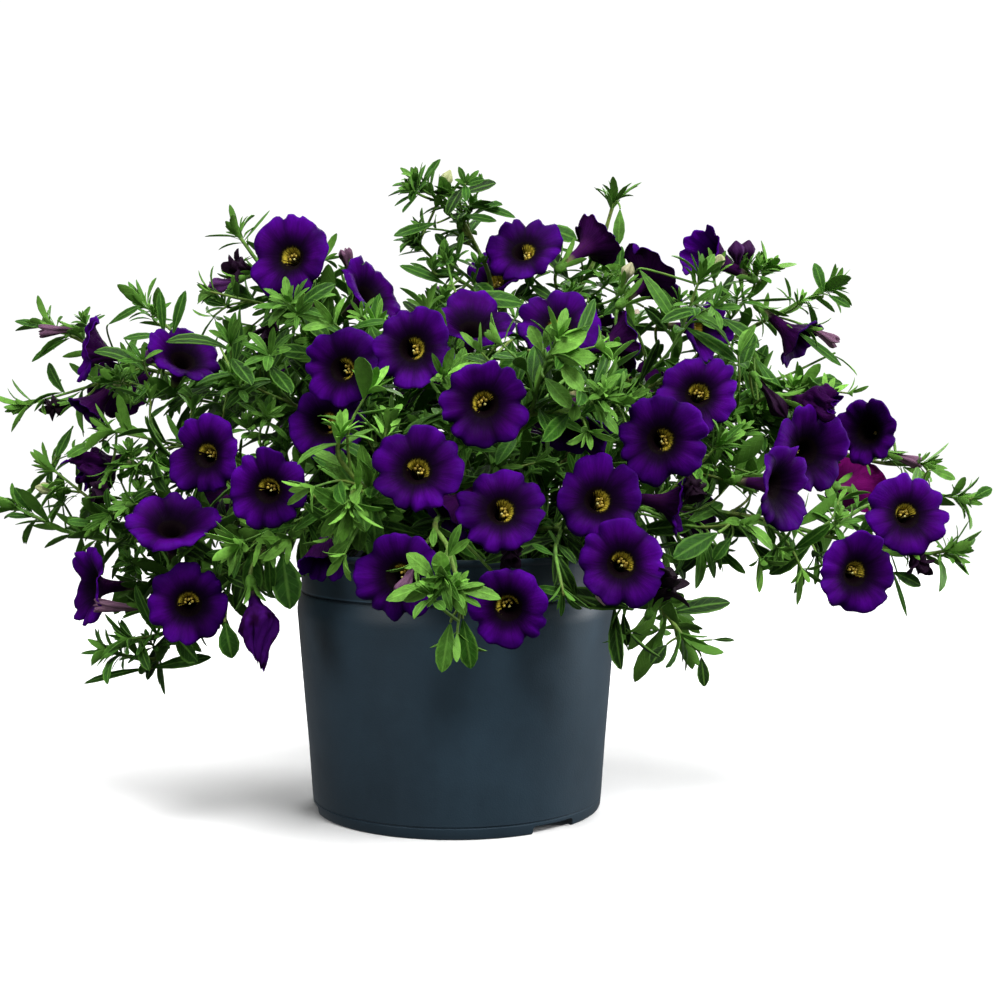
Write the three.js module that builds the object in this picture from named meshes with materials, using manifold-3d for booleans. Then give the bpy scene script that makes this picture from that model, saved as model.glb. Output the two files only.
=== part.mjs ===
// A calibrachoa in its nursery pot: branching shoots with narrow leaves, and trumpet
// flowers that sit in the calyxes on them. Millimetres, +Z up. The origin is the middle of
// the pot's foot, on the ground, and -Y is the side the plant shows best from.

import * as THREE from 'three';
import { mergeVertices } from 'three/addons/utils/BufferGeometryUtils.js';
import Module from 'manifold-3d';

const wasm = await Module();
wasm.setup();

// ---------------------------------------------------------------- driving dimensions

const GAP = 0.3; // between pieces that rest on each other

const POT = {
  segments: 40,
  wall: 1.2,
  footRadius: 58,
  footWidth: 3.5,
  floorLift: 3.5,
  creaseHeight: 4.6,
  shoulderRadius: 64.6,
  shoulderHeight: 81,
  collarRadius: 62.6,
  collarHeight: 88,
  rimHeight: 105,
  rimBead: 1.2,
};
const NOTCH = { count: 3, width: 20.5, height: 3.2, firstBearing: -49 };
const DRAIN = { count: 6, radius: 4, circle: 40, sides: 12 };

const SOIL = { edgeHeight: 92, crown: 2, socketDepth: 6, socketRoom: 0.7 };

const STEM = { base: 1.5, tip: 0.8, side: 0.8, sideTip: 0.6, step: 16 };
const PEDICEL = { radius: 0.7, reach: 15, sunk: 0.4, step: 6, barePart: 0.2 };
const CALYX = { radius: 2.6, length: 6, sides: 5 };
const TUBE = { length: 15, baseRadius: 1.2, throatRadius: 3.6, pit: 9 };
const LOBE = { count: 5, notch: 0.84, shoulder: 22 };
const LEAF = {
  pitch: 19,
  longest: 24,
  shortest: 12,
  slimness: 0.3,
  fold: 0.12,
  lean: 1.1,
  firstOnMain: 0.22,
  firstOnSide: 0.15,
  rosette: 3,
  rosetteInset: 2,
  margin: 0.5,
};
const GOLDEN_ANGLE = Math.PI * (3 - Math.sqrt(5));

// How far the limb's edge stands in front of the throat, as a share of its radius, and how
// wide it is: an open flower, a cupped one and a half-closed bell.
const FORMS = {
  open: { rise: 0.12, spread: 1 },
  cup: { rise: 0.5, spread: 0.92 },
  bell: { rise: 1.15, spread: 0.72 },
};

const MATERIALS = {
  pot: new THREE.MeshStandardMaterial({ color: 0x26333c, roughness: 0.42, metalness: 0 }),
  soil: new THREE.MeshStandardMaterial({ color: 0x2c1e15, roughness: 0.95, metalness: 0 }),
  leaf: new THREE.MeshStandardMaterial({ color: 0x477a26, roughness: 0.6, metalness: 0 }),
  petal: new THREE.MeshStandardMaterial({ color: 0x4a0b8a, roughness: 0.55, metalness: 0 }),
};

// ---------------------------------------------------------------- the growth plan
// Each shoot has its main stem from the soil to the tip and its side stems, which start on
// the main stem. Each flower is [x, y, z of its throat, yaw, pitch, width, form]: yaw turns
// it from the front towards +X, pitch lifts it, both in degrees.

const SHOOTS = [
  {
    name: 'left_high',
    stem: [
      [-10, 8, 92], [-28, 14, 130], [-60, 22, 158], [-96, 30, 172], [-135, 38, 178],
      [-178, 48, 197],
    ],
    sides: [
      [[-96, 30, 172], [-118, 34, 190], [-134, 38, 205]],
      [[-135, 38, 178], [-158, 36, 170], [-184, 32, 162]],
      [[-60, 22, 158], [-100, 8, 163], [-136, 0, 172]],
    ],
    flowers: [
      [-149, 20, 184, -100, 10, 29, 'cup'],
      [-110, 0, 180, 25, 35, 29, 'open'],
    ],
  },
  {
    name: 'left_middle',
    stem: [
      [-13, 2, 92], [-32, -6, 118], [-60, -14, 126], [-95, -10, 112], [-130, 2, 107],
      [-162, 26, 108], [-192, 44, 118],
    ],
    sides: [
      [[-95, -10, 112], [-118, -6, 121], [-142, -4, 116]],
      [[-130, 2, 107], [-150, 12, 122], [-170, 20, 136]],
      [[-60, -14, 126], [-95, -14, 142], [-138, -10, 152]],
    ],
    flowers: [
      [-93, -45, 143, -20, 5, 29, 'open'],
      [-107, -40, 115, 5, 45, 33, 'open'],
    ],
  },
  {
    name: 'left_low',
    stem: [
      [-9, -5, 92], [-28, -18, 110], [-52, -26, 114], [-76, -24, 104], [-94, -18, 88],
      [-110, -16, 74], [-118, -20, 62], [-136, -26, 66],
    ],
    sides: [
      [[-94, -18, 88], [-112, -12, 94], [-128, -8, 98]],
      [[-110, -16, 74], [-118, -28, 72], [-126, -34, 72]],
    ],
    flowers: [
      [-142, -15, 90, -75, 0, 30, 'cup'],
      [-100, -45, 87, 8, 5, 29, 'open'],
      [-68, -60, 79, -20, -60, 28, 'bell'],
    ],
  },
  {
    name: 'front_left',
    stem: [
      [-8, -9, 92], [-20, -35, 116], [-28, -60, 127], [-28, -82, 130], [-38, -92, 143],
      [-37, -96, 152],
    ],
    sides: [
      [[-20, -35, 116], [-40, -45, 124], [-60, -50, 118], [-78, -62, 111]],
      [[-20, -35, 116], [-30, -22, 140], [-36, -20, 165], [-30, -28, 192]],
      [[-28, -82, 130], [-33, -96, 132], [-34, -100, 126]],
    ],
    flowers: [
      [-66, -70, 131, -10, 0, 29, 'open'],
      [-48, -42, 155, -10, 10, 29, 'open'],
      [-41, -50, 175, -15, 5, 29, 'open'],
    ],
  },
  {
    name: 'top_left',
    stem: [[-6, 6, 92], [-14, 8, 135], [-32, 8, 172], [-56, 10, 198], [-76, 12, 214], [-90, 12, 232]],
    sides: [
      [[-56, 10, 198], [-80, 0, 203], [-98, -5, 207]],
      [[-32, 8, 172], [-50, -8, 186], [-63, -28, 201]],
      [[-14, 8, 135], [-50, -8, 155], [-86, -20, 172]],
    ],
    flowers: [
      [-65, -12, 220, -15, 10, 33, 'open'],
      [-35, -5, 205, 60, 40, 26, 'cup'],
    ],
  },
  {
    name: 'top',
    stem: [[-1, 9, 92], [2, 12, 130], [8, 16, 170], [14, 16, 205], [8, 14, 226], [-12, 10, 250]],
    sides: [
      [[8, 14, 226], [2, 8, 238], [-3, 4, 248]],
      [[14, 16, 205], [4, 4, 214], [-4, -8, 219]],
      [[14, 16, 205], [-6, 12, 218], [-17, 4, 229]],
    ],
    flowers: [[7, -25, 191, 10, 45, 30, 'open']],
  },
  {
    name: 'top_right',
    stem: [[6, 11, 92], [18, 16, 130], [34, 20, 168], [46, 24, 200], [58, 26, 225], [65, 24, 247]],
    sides: [[[34, 20, 168], [62, 8, 169], [84, -6, 182], [97, -10, 213]]],
    flowers: [
      [27, 2, 224, -10, 35, 31, 'open'],
      [54, 12, 227, 70, 35, 26, 'cup'],
      [79, 8, 214, 110, 10, 31, 'open'],
      [40, -20, 192, 0, 30, 32, 'open'],
      [63, -2, 186, 110, 10, 26, 'cup'],
    ],
  },
  {
    name: 'right_high',
    stem: [[10, 8, 92], [32, 16, 126], [64, 26, 158], [98, 34, 180], [130, 40, 198], [160, 45, 213]],
    sides: [
      [[98, 34, 180], [116, 32, 200], [130, 28, 219]],
      [[98, 34, 180], [128, 30, 172], [158, 26, 184]],
    ],
    flowers: [
      [107, 15, 221, -55, 20, 30, 'cup'],
      [140, 30, 192, 100, 0, 26, 'cup'],
    ],
  },
  {
    name: 'right_middle',
    stem: [
      [13, 3, 92], [38, 2, 116], [74, 4, 136], [110, 8, 146], [146, 14, 144], [176, 12, 138],
      [191, 6, 138],
    ],
    sides: [
      [[110, 8, 146], [128, 10, 160], [141, 12, 170]],
      [[74, 4, 136], [98, 0, 150], [122, 0, 160]],
    ],
    flowers: [
      [93, -35, 166, 0, 15, 30, 'open'],
      [137, -20, 144, 25, 5, 30, 'open'],
      [167, 5, 151, -40, 5, 26, 'cup'],
      [163, 20, 129, 150, 0, 25, 'cup'],
    ],
  },
  {
    name: 'right_low',
    stem: [
      [11, -4, 92], [38, -20, 112], [72, -32, 122], [108, -36, 120], [142, -38, 112],
      [172, -46, 106], [186, -52, 108],
    ],
    sides: [
      [[142, -38, 112], [158, -26, 122], [178, -28, 128], [193, -38, 126]],
      [[72, -32, 122], [90, -46, 116], [106, -64, 119]],
      [[72, -32, 122], [88, -36, 134], [100, -42, 147]],
    ],
    flowers: [
      [118, -58, 132, 65, -5, 31, 'open'],
      [148, -60, 100, 20, 0, 30, 'open'],
      [169, -50, 121, 10, 15, 30, 'open'],
      [75, -72, 149, -5, 5, 31, 'open'],
    ],
  },
  {
    name: 'front_right',
    stem: [
      [7, -9, 92], [22, -36, 112], [40, -58, 116], [56, -68, 111], [68, -74, 100], [76, -76, 88],
      [84, -76, 77],
    ],
    sides: [
      [[40, -58, 116], [37, -80, 111], [37, -98, 107], [39, -105, 97]],
      [[68, -74, 100], [62, -80, 90], [60, -82, 80]],
    ],
    flowers: [
      [52, -82, 128, 5, 20, 30, 'open'],
      [59, -98, 107, 0, 10, 29, 'open'],
      [80, -52, 125, 80, -10, 24, 'cup'],
    ],
  },
  {
    name: 'front',
    stem: [
      [0, -12, 92], [-2, -40, 113], [-4, -70, 121], [-5, -92, 119], [0, -106, 113],
      [-1, -123, 105],
    ],
    sides: [[[0, -106, 113], [4, -112, 98], [3, -114, 84]]],
    flowers: [
      [-11, -95, 139, 0, 15, 30, 'open'],
      [18, -92, 125, 3, 20, 30, 'open'],
      [-17, -100, 103, -15, 5, 30, 'open'],
      [20, -98, 92, -5, -5, 27, 'open'],
    ],
  },
  {
    name: 'front_upper',
    stem: [[3, -8, 92], [10, -26, 125], [20, -48, 145], [28, -66, 158], [32, -76, 172], [38, -82, 186]],
    sides: [
      [[28, -66, 158], [44, -74, 160], [60, -80, 163]],
      [[10, -26, 125], [2, -42, 150], [-1, -60, 166], [-3, -80, 172]],
    ],
    flowers: [
      [12, -85, 162, 5, 5, 30, 'open'],
      [-14, -66, 182, 0, 10, 29, 'open'],
    ],
  },
  {
    name: 'back_left',
    stem: [[-6, 14, 92], [-24, 38, 125], [-52, 70, 150], [-80, 100, 150], [-100, 124, 136]],
    sides: [
      [[-24, 38, 125], [-48, 50, 160], [-66, 58, 190]],
      [[-52, 70, 150], [-90, 76, 160], [-128, 84, 168]],
      [[-52, 70, 150], [-60, 98, 128], [-68, 116, 100], [-70, 122, 78]],
    ],
    flowers: [
      [-92, 98, 174, -140, 20, 30, 'open'],
      [-56, 122, 140, 170, 10, 30, 'open'],
    ],
  },
  {
    name: 'back_middle',
    stem: [[1, 17, 92], [2, 44, 125], [2, 76, 150], [4, 104, 150], [4, 117, 134]],
    sides: [
      [[2, 44, 125], [-4, 52, 165], [-8, 60, 206]],
      [[2, 76, 150], [22, 88, 170], [36, 98, 186]],
      [[4, 106, 150], [-12, 118, 120], [-16, 126, 92]],
    ],
    flowers: [
      [-12, 92, 190, -170, 30, 30, 'open'],
      [30, 126, 142, 160, 5, 30, 'open'],
    ],
  },
  {
    name: 'back_right',
    stem: [[8, 14, 92], [28, 38, 124], [58, 68, 146], [90, 94, 146], [118, 114, 132]],
    sides: [
      [[28, 38, 124], [50, 48, 162], [72, 56, 196]],
      [[58, 68, 146], [96, 72, 160], [134, 78, 172]],
      [[58, 68, 146], [66, 98, 124], [74, 116, 96]],
    ],
    flowers: [[88, 110, 168, 145, 20, 30, 'open']],
  },
];

// ---------------------------------------------------------------- solids

const vector = ([x, y, z]) => new THREE.Vector3(x, y, z);

function solidOf(geometry) {
  const bare = geometry.clone();
  bare.deleteAttribute('normal');
  bare.deleteAttribute('uv');
  const merged = mergeVertices(bare, 1e-4);
  return new wasm.Manifold(
    new wasm.Mesh({
      numProp: 3,
      vertProperties: new Float32Array(merged.attributes.position.array),
      triVerts: new Uint32Array(merged.index.array),
    }),
  );
}

function geometryOf(solid) {
  const mesh = solid.getMesh();
  const geometry = new THREE.BufferGeometry();
  geometry.setAttribute('position', new THREE.BufferAttribute(mesh.vertProperties, 3));
  geometry.setIndex(new THREE.BufferAttribute(mesh.triVerts, 1));
  geometry.computeVertexNormals();
  return geometry;
}

function polyhedron(points, faces) {
  const geometry = new THREE.BufferGeometry();
  const numbers = points.flatMap((point) => point.toArray());
  geometry.setAttribute('position', new THREE.Float32BufferAttribute(numbers, 3));
  geometry.setIndex(faces.flat());
  return geometry;
}

// Turns a profile of [radius, height] about +Z.
function turned(profile, segments) {
  const points = profile.map(([radius, height]) => new THREE.Vector2(radius, height));
  return new THREE.LatheGeometry(points, segments).rotateX(Math.PI / 2);
}

function upright(radius, bottom, top, sides, x, y) {
  const geometry = new THREE.CylinderGeometry(radius, radius, top - bottom, sides);
  return geometry.rotateX(Math.PI / 2).translate(x, y, (bottom + top) / 2);
}

// A tapered tube along a curve, closed at both ends.
function tube(curve, startRadius, endRadius, sides, steps) {
  const frames = curve.computeFrenetFrames(steps);
  const points = [];
  const faces = [];
  for (let i = 0; i <= steps; i++) {
    const centre = curve.getPointAt(i / steps);
    const radius = THREE.MathUtils.lerp(startRadius, endRadius, i / steps);
    for (let k = 0; k < sides; k++) {
      const angle = (2 * Math.PI * k) / sides;
      const out = frames.normals[i].clone().multiplyScalar(Math.cos(angle));
      out.addScaledVector(frames.binormals[i], Math.sin(angle));
      points.push(centre.clone().addScaledVector(out, radius));
    }
  }
  for (let i = 0; i < steps; i++) {
    for (let k = 0; k < sides; k++) {
      const a = i * sides + k;
      const b = i * sides + ((k + 1) % sides);
      faces.push([a, b, b + sides], [a, b + sides, a + sides]);
    }
  }
  const last = steps * sides;
  for (let k = 1; k < sides - 1; k++) {
    faces.push([0, k + 1, k], [last, last + k, last + k + 1]);
  }
  return polyhedron(points, faces);
}

// ---------------------------------------------------------------- pot and soil

// The wall's inner radius at a height, with the outline that the outer wall has.
function innerRadius(height) {
  const { footRadius, shoulderRadius, shoulderHeight, collarRadius, collarHeight, wall } = POT;
  if (height <= shoulderHeight) {
    return THREE.MathUtils.lerp(footRadius, shoulderRadius, height / shoulderHeight) - wall;
  }
  const share = Math.min(1, (height - shoulderHeight) / (collarHeight - shoulderHeight));
  return THREE.MathUtils.lerp(shoulderRadius, collarRadius, share) - wall;
}

function makePot() {
  const { footRadius, footWidth, floorLift, creaseHeight, wall, rimBead, segments } = POT;
  const { shoulderRadius, shoulderHeight, collarRadius, collarHeight, rimHeight } = POT;
  const floorTop = floorLift + wall;
  const shell = solidOf(
    turned(
      [
        [0, floorLift],
        [footRadius - footWidth, floorLift],
        [footRadius - footWidth, 0],
        [footRadius, 0],
        [innerRadius(creaseHeight) + wall + 0.3, creaseHeight],
        [innerRadius(creaseHeight + 1) + wall, creaseHeight + 1],
        [shoulderRadius, shoulderHeight],
        [collarRadius, collarHeight],
        [collarRadius, rimHeight - 2 * rimBead],
        [collarRadius + rimBead, rimHeight - rimBead],
        [collarRadius + rimBead, rimHeight],
        [innerRadius(rimHeight), rimHeight],
        [innerRadius(collarHeight), collarHeight],
        [innerRadius(shoulderHeight), shoulderHeight],
        [innerRadius(floorTop), floorTop],
        [0, floorTop],
      ],
      segments,
    ),
  );
  let pot = shell;
  for (let i = 0; i < NOTCH.count; i++) {
    const bearing = THREE.MathUtils.degToRad(NOTCH.firstBearing) + (2 * Math.PI * i) / NOTCH.count;
    const block = new THREE.BoxGeometry(4 * footWidth, NOTCH.width, 2 * NOTCH.height);
    block.translate(footRadius, 0, 0).rotateZ(bearing);
    pot = pot.subtract(solidOf(block));
  }
  for (let i = 0; i < DRAIN.count; i++) {
    const bearing = (2 * Math.PI * i) / DRAIN.count;
    const [x, y] = [DRAIN.circle * Math.cos(bearing), DRAIN.circle * Math.sin(bearing)];
    pot = pot.subtract(solidOf(upright(DRAIN.radius, 0, 2 * floorTop, DRAIN.sides, x, y)));
  }
  return pot;
}

function makeSoil() {
  const { edgeHeight, crown } = SOIL;
  const bottom = POT.floorLift + POT.wall + GAP;
  let soil = solidOf(
    turned(
      [
        [0, bottom],
        [innerRadius(bottom) - GAP, bottom],
        [innerRadius(POT.shoulderHeight) - GAP, POT.shoulderHeight],
        [innerRadius(POT.collarHeight) - GAP, POT.collarHeight],
        [innerRadius(edgeHeight) - GAP, edgeHeight],
        [0, edgeHeight + crown],
      ],
      POT.segments,
    ),
  );
  for (const shoot of SHOOTS) {
    soil = soil.subtract(stemSolid(stemsOf(shoot)[0], SOIL.socketRoom).translate(0, 0, -GAP));
  }
  return soil;
}

// ---------------------------------------------------------------- flowers

function facing(yawDegrees, pitchDegrees) {
  const yaw = THREE.MathUtils.degToRad(yawDegrees);
  const pitch = THREE.MathUtils.degToRad(pitchDegrees);
  const level = Math.cos(pitch);
  return new THREE.Vector3(Math.sin(yaw) * level, -Math.cos(yaw) * level, Math.sin(pitch));
}

// The corolla faces +Z with its throat at the origin: a five-sided tube that opens into
// five broad lobes, closed at the tube's foot.
function corollaGeometry(width, form) {
  const { rise, spread } = FORMS[form];
  const radius = (width / 2) * spread;
  const { count, notch, shoulder } = LOBE;
  const ring = (r, z, turn = 0) =>
    Array.from({ length: count }, (_, i) => {
      const angle = (2 * Math.PI * i) / count + turn;
      return new THREE.Vector3(r * Math.cos(angle), r * Math.sin(angle), z);
    });
  const foot = ring(TUBE.baseRadius, -TUBE.length);
  const throat = ring(TUBE.throatRadius, -2);
  const mouth = ring(TUBE.throatRadius - 0.8, -0.5);
  const edgeHeight = rise * radius;
  const half = THREE.MathUtils.degToRad(shoulder);
  const lobes = [ring(radius, edgeHeight, -half), ring(radius, edgeHeight, half)];
  const dips = ring(radius * notch, edgeHeight, Math.PI / count);
  const pit = new THREE.Vector3(0, 0, -TUBE.pit);
  const points = [...foot, ...throat, ...mouth, ...lobes[0], ...lobes[1], ...dips, pit];
  const [at, apex] = [{ foot: 0, throat: count, mouth: 2 * count }, 6 * count];
  Object.assign(at, { first: 3 * count, second: 4 * count, dip: 5 * count });
  const faces = [];
  for (let i = 0; i < count; i++) {
    const next = (i + 1) % count;
    faces.push([at.foot + i, at.foot + next, at.throat + next]);
    faces.push([at.foot + i, at.throat + next, at.throat + i]);
    for (const [inner, flip] of [[at.throat, false], [at.mouth, true]]) {
      const fan = [
        [inner + i, at.second + i, at.first + i],
        [inner + i, at.dip + i, at.second + i],
        [inner + i, inner + next, at.dip + i],
        [inner + next, at.first + next, at.dip + i],
      ];
      faces.push(...fan.map(([a, b, c]) => (flip ? [a, c, b] : [a, b, c])));
    }
    faces.push([at.mouth + i, at.mouth + next, apex]);
  }
  for (let i = 1; i < count - 1; i++) {
    faces.push([at.foot, at.foot + i + 1, at.foot + i]);
  }
  return polyhedron(points, faces);
}

function describeFlower([x, y, z, yaw, pitch, width, form], index) {
  const axis = facing(yaw, pitch);
  const throat = new THREE.Vector3(x, y, z);
  const turn = new THREE.Quaternion().setFromAxisAngle(new THREE.Vector3(0, 0, 1), index * GOLDEN_ANGLE);
  const aim = new THREE.Quaternion().setFromUnitVectors(new THREE.Vector3(0, 0, 1), axis);
  const foot = throat.clone().addScaledVector(axis, -TUBE.length);
  return { axis, throat, foot, pose: aim.multiply(turn), width, form };
}

function flowerMesh(flower, name) {
  const mesh = new THREE.Mesh(corollaGeometry(flower.width, flower.form), MATERIALS.petal);
  mesh.name = name;
  mesh.position.copy(flower.throat);
  mesh.quaternion.copy(flower.pose);
  return mesh;
}

// ---------------------------------------------------------------- shoots

// A repeatable number from 0 to 1 for each seed.
const chance = (seed) => {
  const value = Math.sin(seed * 12.9898) * 43758.5453;
  return value - Math.floor(value);
};

// The stems of a shoot, main stem first: each with its curve, its length and the number
// of straight steps that its tube takes.
function stemsOf(shoot) {
  const [x, y] = shoot.stem[0];
  const root = [x, y, SOIL.edgeHeight - SOIL.socketDepth + GAP];
  return [[root, ...shoot.stem], ...shoot.sides].map((points, i) => {
    const curve = new THREE.CatmullRomCurve3(points.map(vector), false, 'catmullrom', 0.5);
    const length = curve.getLength();
    return { curve, length, steps: Math.max(2, Math.round(length / STEM.step)), isMain: i === 0 };
  });
}

function stemSolid({ curve, steps, isMain }, grow = 0) {
  return isMain
    ? solidOf(tube(curve, STEM.base + grow, STEM.tip + grow, 5, steps))
    : solidOf(tube(curve, STEM.side + grow, STEM.sideTip + grow, 4, steps));
}

// The point on the middle line of a stem's tube, which is straight in each step.
function pointOn({ curve, steps }, share) {
  const step = Math.min(Math.floor(share * steps), steps - 1);
  const start = curve.getPointAt(step / steps);
  return start.lerp(curve.getPointAt((step + 1) / steps), share * steps - step);
}

// The flower's stalk, from the nearest place on the shoot's stems to the calyx.
function pedicelCurve(flower, stems) {
  const insideCalyx = GAP + CALYX.length * (1 - PEDICEL.sunk);
  const end = flower.foot.clone().addScaledVector(flower.axis, -insideCalyx);
  const behind = end.clone().addScaledVector(flower.axis, -PEDICEL.reach);
  let start = null;
  for (const stem of stems) {
    for (let share = PEDICEL.barePart; share <= 1; share += 0.02) {
      const point = pointOn(stem, share);
      if (!start || point.distanceTo(behind) < start.distanceTo(behind)) start = point;
    }
  }
  return new THREE.QuadraticBezierCurve3(start, behind.lerp(end, 0.5), end);
}

function pedicelSolid(curve) {
  const steps = Math.max(2, Math.round(curve.getLength() / PEDICEL.step));
  return solidOf(tube(curve, PEDICEL.radius, PEDICEL.radius, 4, steps));
}

function calyxSolid(flower) {
  const cone = new THREE.ConeGeometry(CALYX.radius, CALYX.length, CALYX.sides);
  cone.rotateX(-Math.PI / 2).translate(0, 0, -TUBE.length - GAP - CALYX.length / 2);
  return solidOf(cone.applyQuaternion(flower.pose).translate(...flower.throat));
}

// One leaf: a blade folded up along its midrib, from its base to its tip.
function leafSolid(base, direction, across, length, grow) {
  const width = length * LEAF.slimness + grow;
  const up = new THREE.Vector3().crossVectors(direction, across);
  const start = base.clone().addScaledVector(direction, -grow);
  const tip = base.clone().addScaledVector(direction, length + grow);
  const middle = base.clone().addScaledVector(direction, length / 2);
  middle.addScaledVector(up, width * LEAF.fold + grow);
  start.addScaledVector(up, -grow);
  tip.addScaledVector(up, -grow);
  const left = middle.clone().addScaledVector(across, -width / 2);
  const right = middle.clone().addScaledVector(across, width / 2);
  const faces = [[0, 3, 1], [0, 1, 2], [0, 2, 3], [1, 3, 2]];
  return solidOf(polyhedron([start, tip, left, right], faces));
}

// Where the leaves of one stem stand: spaced along it by the golden angle, longest in the
// middle of the plant, with a small rosette at the tip.
function leafPlaces(stem, seed) {
  const { curve, length, isMain } = stem;
  const places = [];
  const add = (share, turn, lean, size) => {
    const along = curve.getTangentAt(share);
    const side = new THREE.Vector3().crossVectors(along, new THREE.Vector3(0, 0, 1)).normalize();
    const out = side.clone().multiplyScalar(Math.cos(turn));
    out.addScaledVector(new THREE.Vector3().crossVectors(side, along), Math.sin(turn));
    const direction = along.clone().multiplyScalar(Math.cos(lean)).addScaledVector(out, Math.sin(lean));
    const across = new THREE.Vector3().crossVectors(along, direction).normalize();
    places.push({ base: pointOn(stem, share), direction, across, size });
  };
  const { pitch, longest, shortest, lean, rosette, rosetteInset } = LEAF;
  const vary = (middle, spread, draw) => middle + spread * (chance(seed + draw) - 0.5);
  const first = (isMain ? LEAF.firstOnMain : LEAF.firstOnSide) * length;
  for (let at = first, k = 0; at < length - pitch / 2; at += pitch, k++) {
    const size = THREE.MathUtils.lerp(longest, shortest, at / length) * vary(1, 0.3, k);
    add(at / length, seed + k * GOLDEN_ANGLE, vary(lean, 0.3, k + 0.5), size);
  }
  for (let k = 0; k < rosette; k++) {
    const size = shortest * vary(1.25, 0.5, k + 0.75);
    add(1 - rosetteInset / length, seed + (2 * Math.PI * k) / rosette, vary(lean / 1.7, 0.6, k + 0.25), size);
  }
  return places;
}

function boxesMeet(a, b) {
  return [0, 1, 2].every((i) => a.min[i] <= b.max[i] && b.min[i] <= a.max[i]);
}

// Whether a solid meets any of the others, each a record of its solid and box.
function meetsAny(solid, others) {
  const box = solid.boundingBox();
  return others.some((other) => boxesMeet(box, other.box) && !solid.intersect(other.solid).isEmpty());
}

const placed = (solid, owner) => ({ solid, box: solid.boundingBox(), owner });

// Joins the pieces of one shoot, and fills the hollows that crossing leaves would shut in.
function joined(solids) {
  const shells = wasm.Manifold.union(solids).decompose();
  return wasm.Manifold.union(shells.filter((shell) => shell.volume() > 0));
}

// ---------------------------------------------------------------- the plant

function mesh(name, solid, material) {
  const result = new THREE.Mesh(geometryOf(solid), material);
  result.name = name;
  return result;
}

const pot = makePot();
const soil = makeSoil();
const plant = new THREE.Group();
plant.add(mesh('pot', pot, MATERIALS.pot), mesh('soil', soil, MATERIALS.soil));

const pieces = [placed(pot, 'pot'), placed(soil, 'soil')];
const grown = SHOOTS.map((shoot) => {
  const stems = stemsOf(shoot);
  const flowers = shoot.flowers.map(describeFlower);
  const group = new THREE.Group();
  flowers.forEach((flower, i) => {
    const bloom = flowerMesh(flower, `flower_${shoot.name}_${i + 1}`);
    group.add(bloom);
    bloom.updateMatrix();
    pieces.push(placed(solidOf(bloom.geometry.clone().applyMatrix4(bloom.matrix)), bloom.name));
  });
  const stalks = flowers.map((flower) => pedicelSolid(pedicelCurve(flower, stems)));
  const parts = [...stems.map((stem) => stemSolid(stem)), ...stalks, ...flowers.map(calyxSolid)];
  pieces.push(...parts.map((part) => placed(part, shoot.name)));
  return { shoot, stems, group };
});

grown.forEach(({ shoot, stems, group }, number) => {
  stems.forEach((stem, i) => {
    const others = pieces.filter((piece) => piece.owner !== shoot.name);
    for (const { base, direction, across, size } of leafPlaces(stem, 7 * number + i)) {
      const reach = leafSolid(base, direction, across, size, LEAF.margin);
      if (meetsAny(reach, others)) continue;
      pieces.push(placed(leafSolid(base, direction, across, size, 0), shoot.name));
    }
  });
  const own = pieces.filter((piece) => piece.owner === shoot.name).map((piece) => piece.solid);
  group.add(mesh(`shoot_${shoot.name}`, joined(own), MATERIALS.leaf));
  plant.add(group);
});

export default plant;
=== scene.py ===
"""A calibrachoa in its nursery pot, finished over its fixed frame: the pot and the peat, and on
each shoot its stems, leaves, calyxes, trumpet flowers, stamens, buds and spent flowers."""

import math

import bpy
import numpy as np
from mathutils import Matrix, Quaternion, Vector, noise


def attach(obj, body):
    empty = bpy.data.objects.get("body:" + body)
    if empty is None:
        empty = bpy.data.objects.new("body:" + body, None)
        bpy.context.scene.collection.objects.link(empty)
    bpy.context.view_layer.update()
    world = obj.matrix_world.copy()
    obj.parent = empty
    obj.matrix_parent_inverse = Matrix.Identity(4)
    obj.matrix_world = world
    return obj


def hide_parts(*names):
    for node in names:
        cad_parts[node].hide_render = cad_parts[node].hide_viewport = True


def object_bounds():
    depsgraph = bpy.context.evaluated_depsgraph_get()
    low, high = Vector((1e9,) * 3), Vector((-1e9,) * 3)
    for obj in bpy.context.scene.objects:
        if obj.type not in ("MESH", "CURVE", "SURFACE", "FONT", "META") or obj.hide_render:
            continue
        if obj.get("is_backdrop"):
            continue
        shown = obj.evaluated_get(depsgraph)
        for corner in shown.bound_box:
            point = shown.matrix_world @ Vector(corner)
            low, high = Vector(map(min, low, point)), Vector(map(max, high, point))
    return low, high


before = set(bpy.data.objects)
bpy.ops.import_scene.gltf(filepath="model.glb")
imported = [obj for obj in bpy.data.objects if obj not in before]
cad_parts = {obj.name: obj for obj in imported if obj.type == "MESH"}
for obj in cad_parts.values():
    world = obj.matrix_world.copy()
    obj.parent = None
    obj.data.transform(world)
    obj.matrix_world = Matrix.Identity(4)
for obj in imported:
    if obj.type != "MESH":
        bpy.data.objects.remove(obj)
FRAME_BOX = [list(corner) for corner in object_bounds()]

bl_info = {
    "name": "Potted Calibrachoa",
    "version": (1, 0, 0),
    "blender": (4, 5, 0),
    "location": "3D View > Sidebar > Calibrachoa",
    "description": "Grows a calibrachoa with its flowers, buds and leaves in a nursery pot",
    "category": "Add Mesh",
}

MM = 0.001
UP = np.array((0.0, 0.0, 1.0))
GOLDEN_ANGLE = math.pi * (3 - math.sqrt(5))

# -------- the growth plan
# Millimetres, in the frame's own axes. A shoot has its main stem from the peat to the tip and
# its side stems. A flower is x, y, z of its throat, yaw, pitch, width and its form, if that isn't
# open: yaw turns it from the front towards +X, pitch lifts it, both in degrees.

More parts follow.
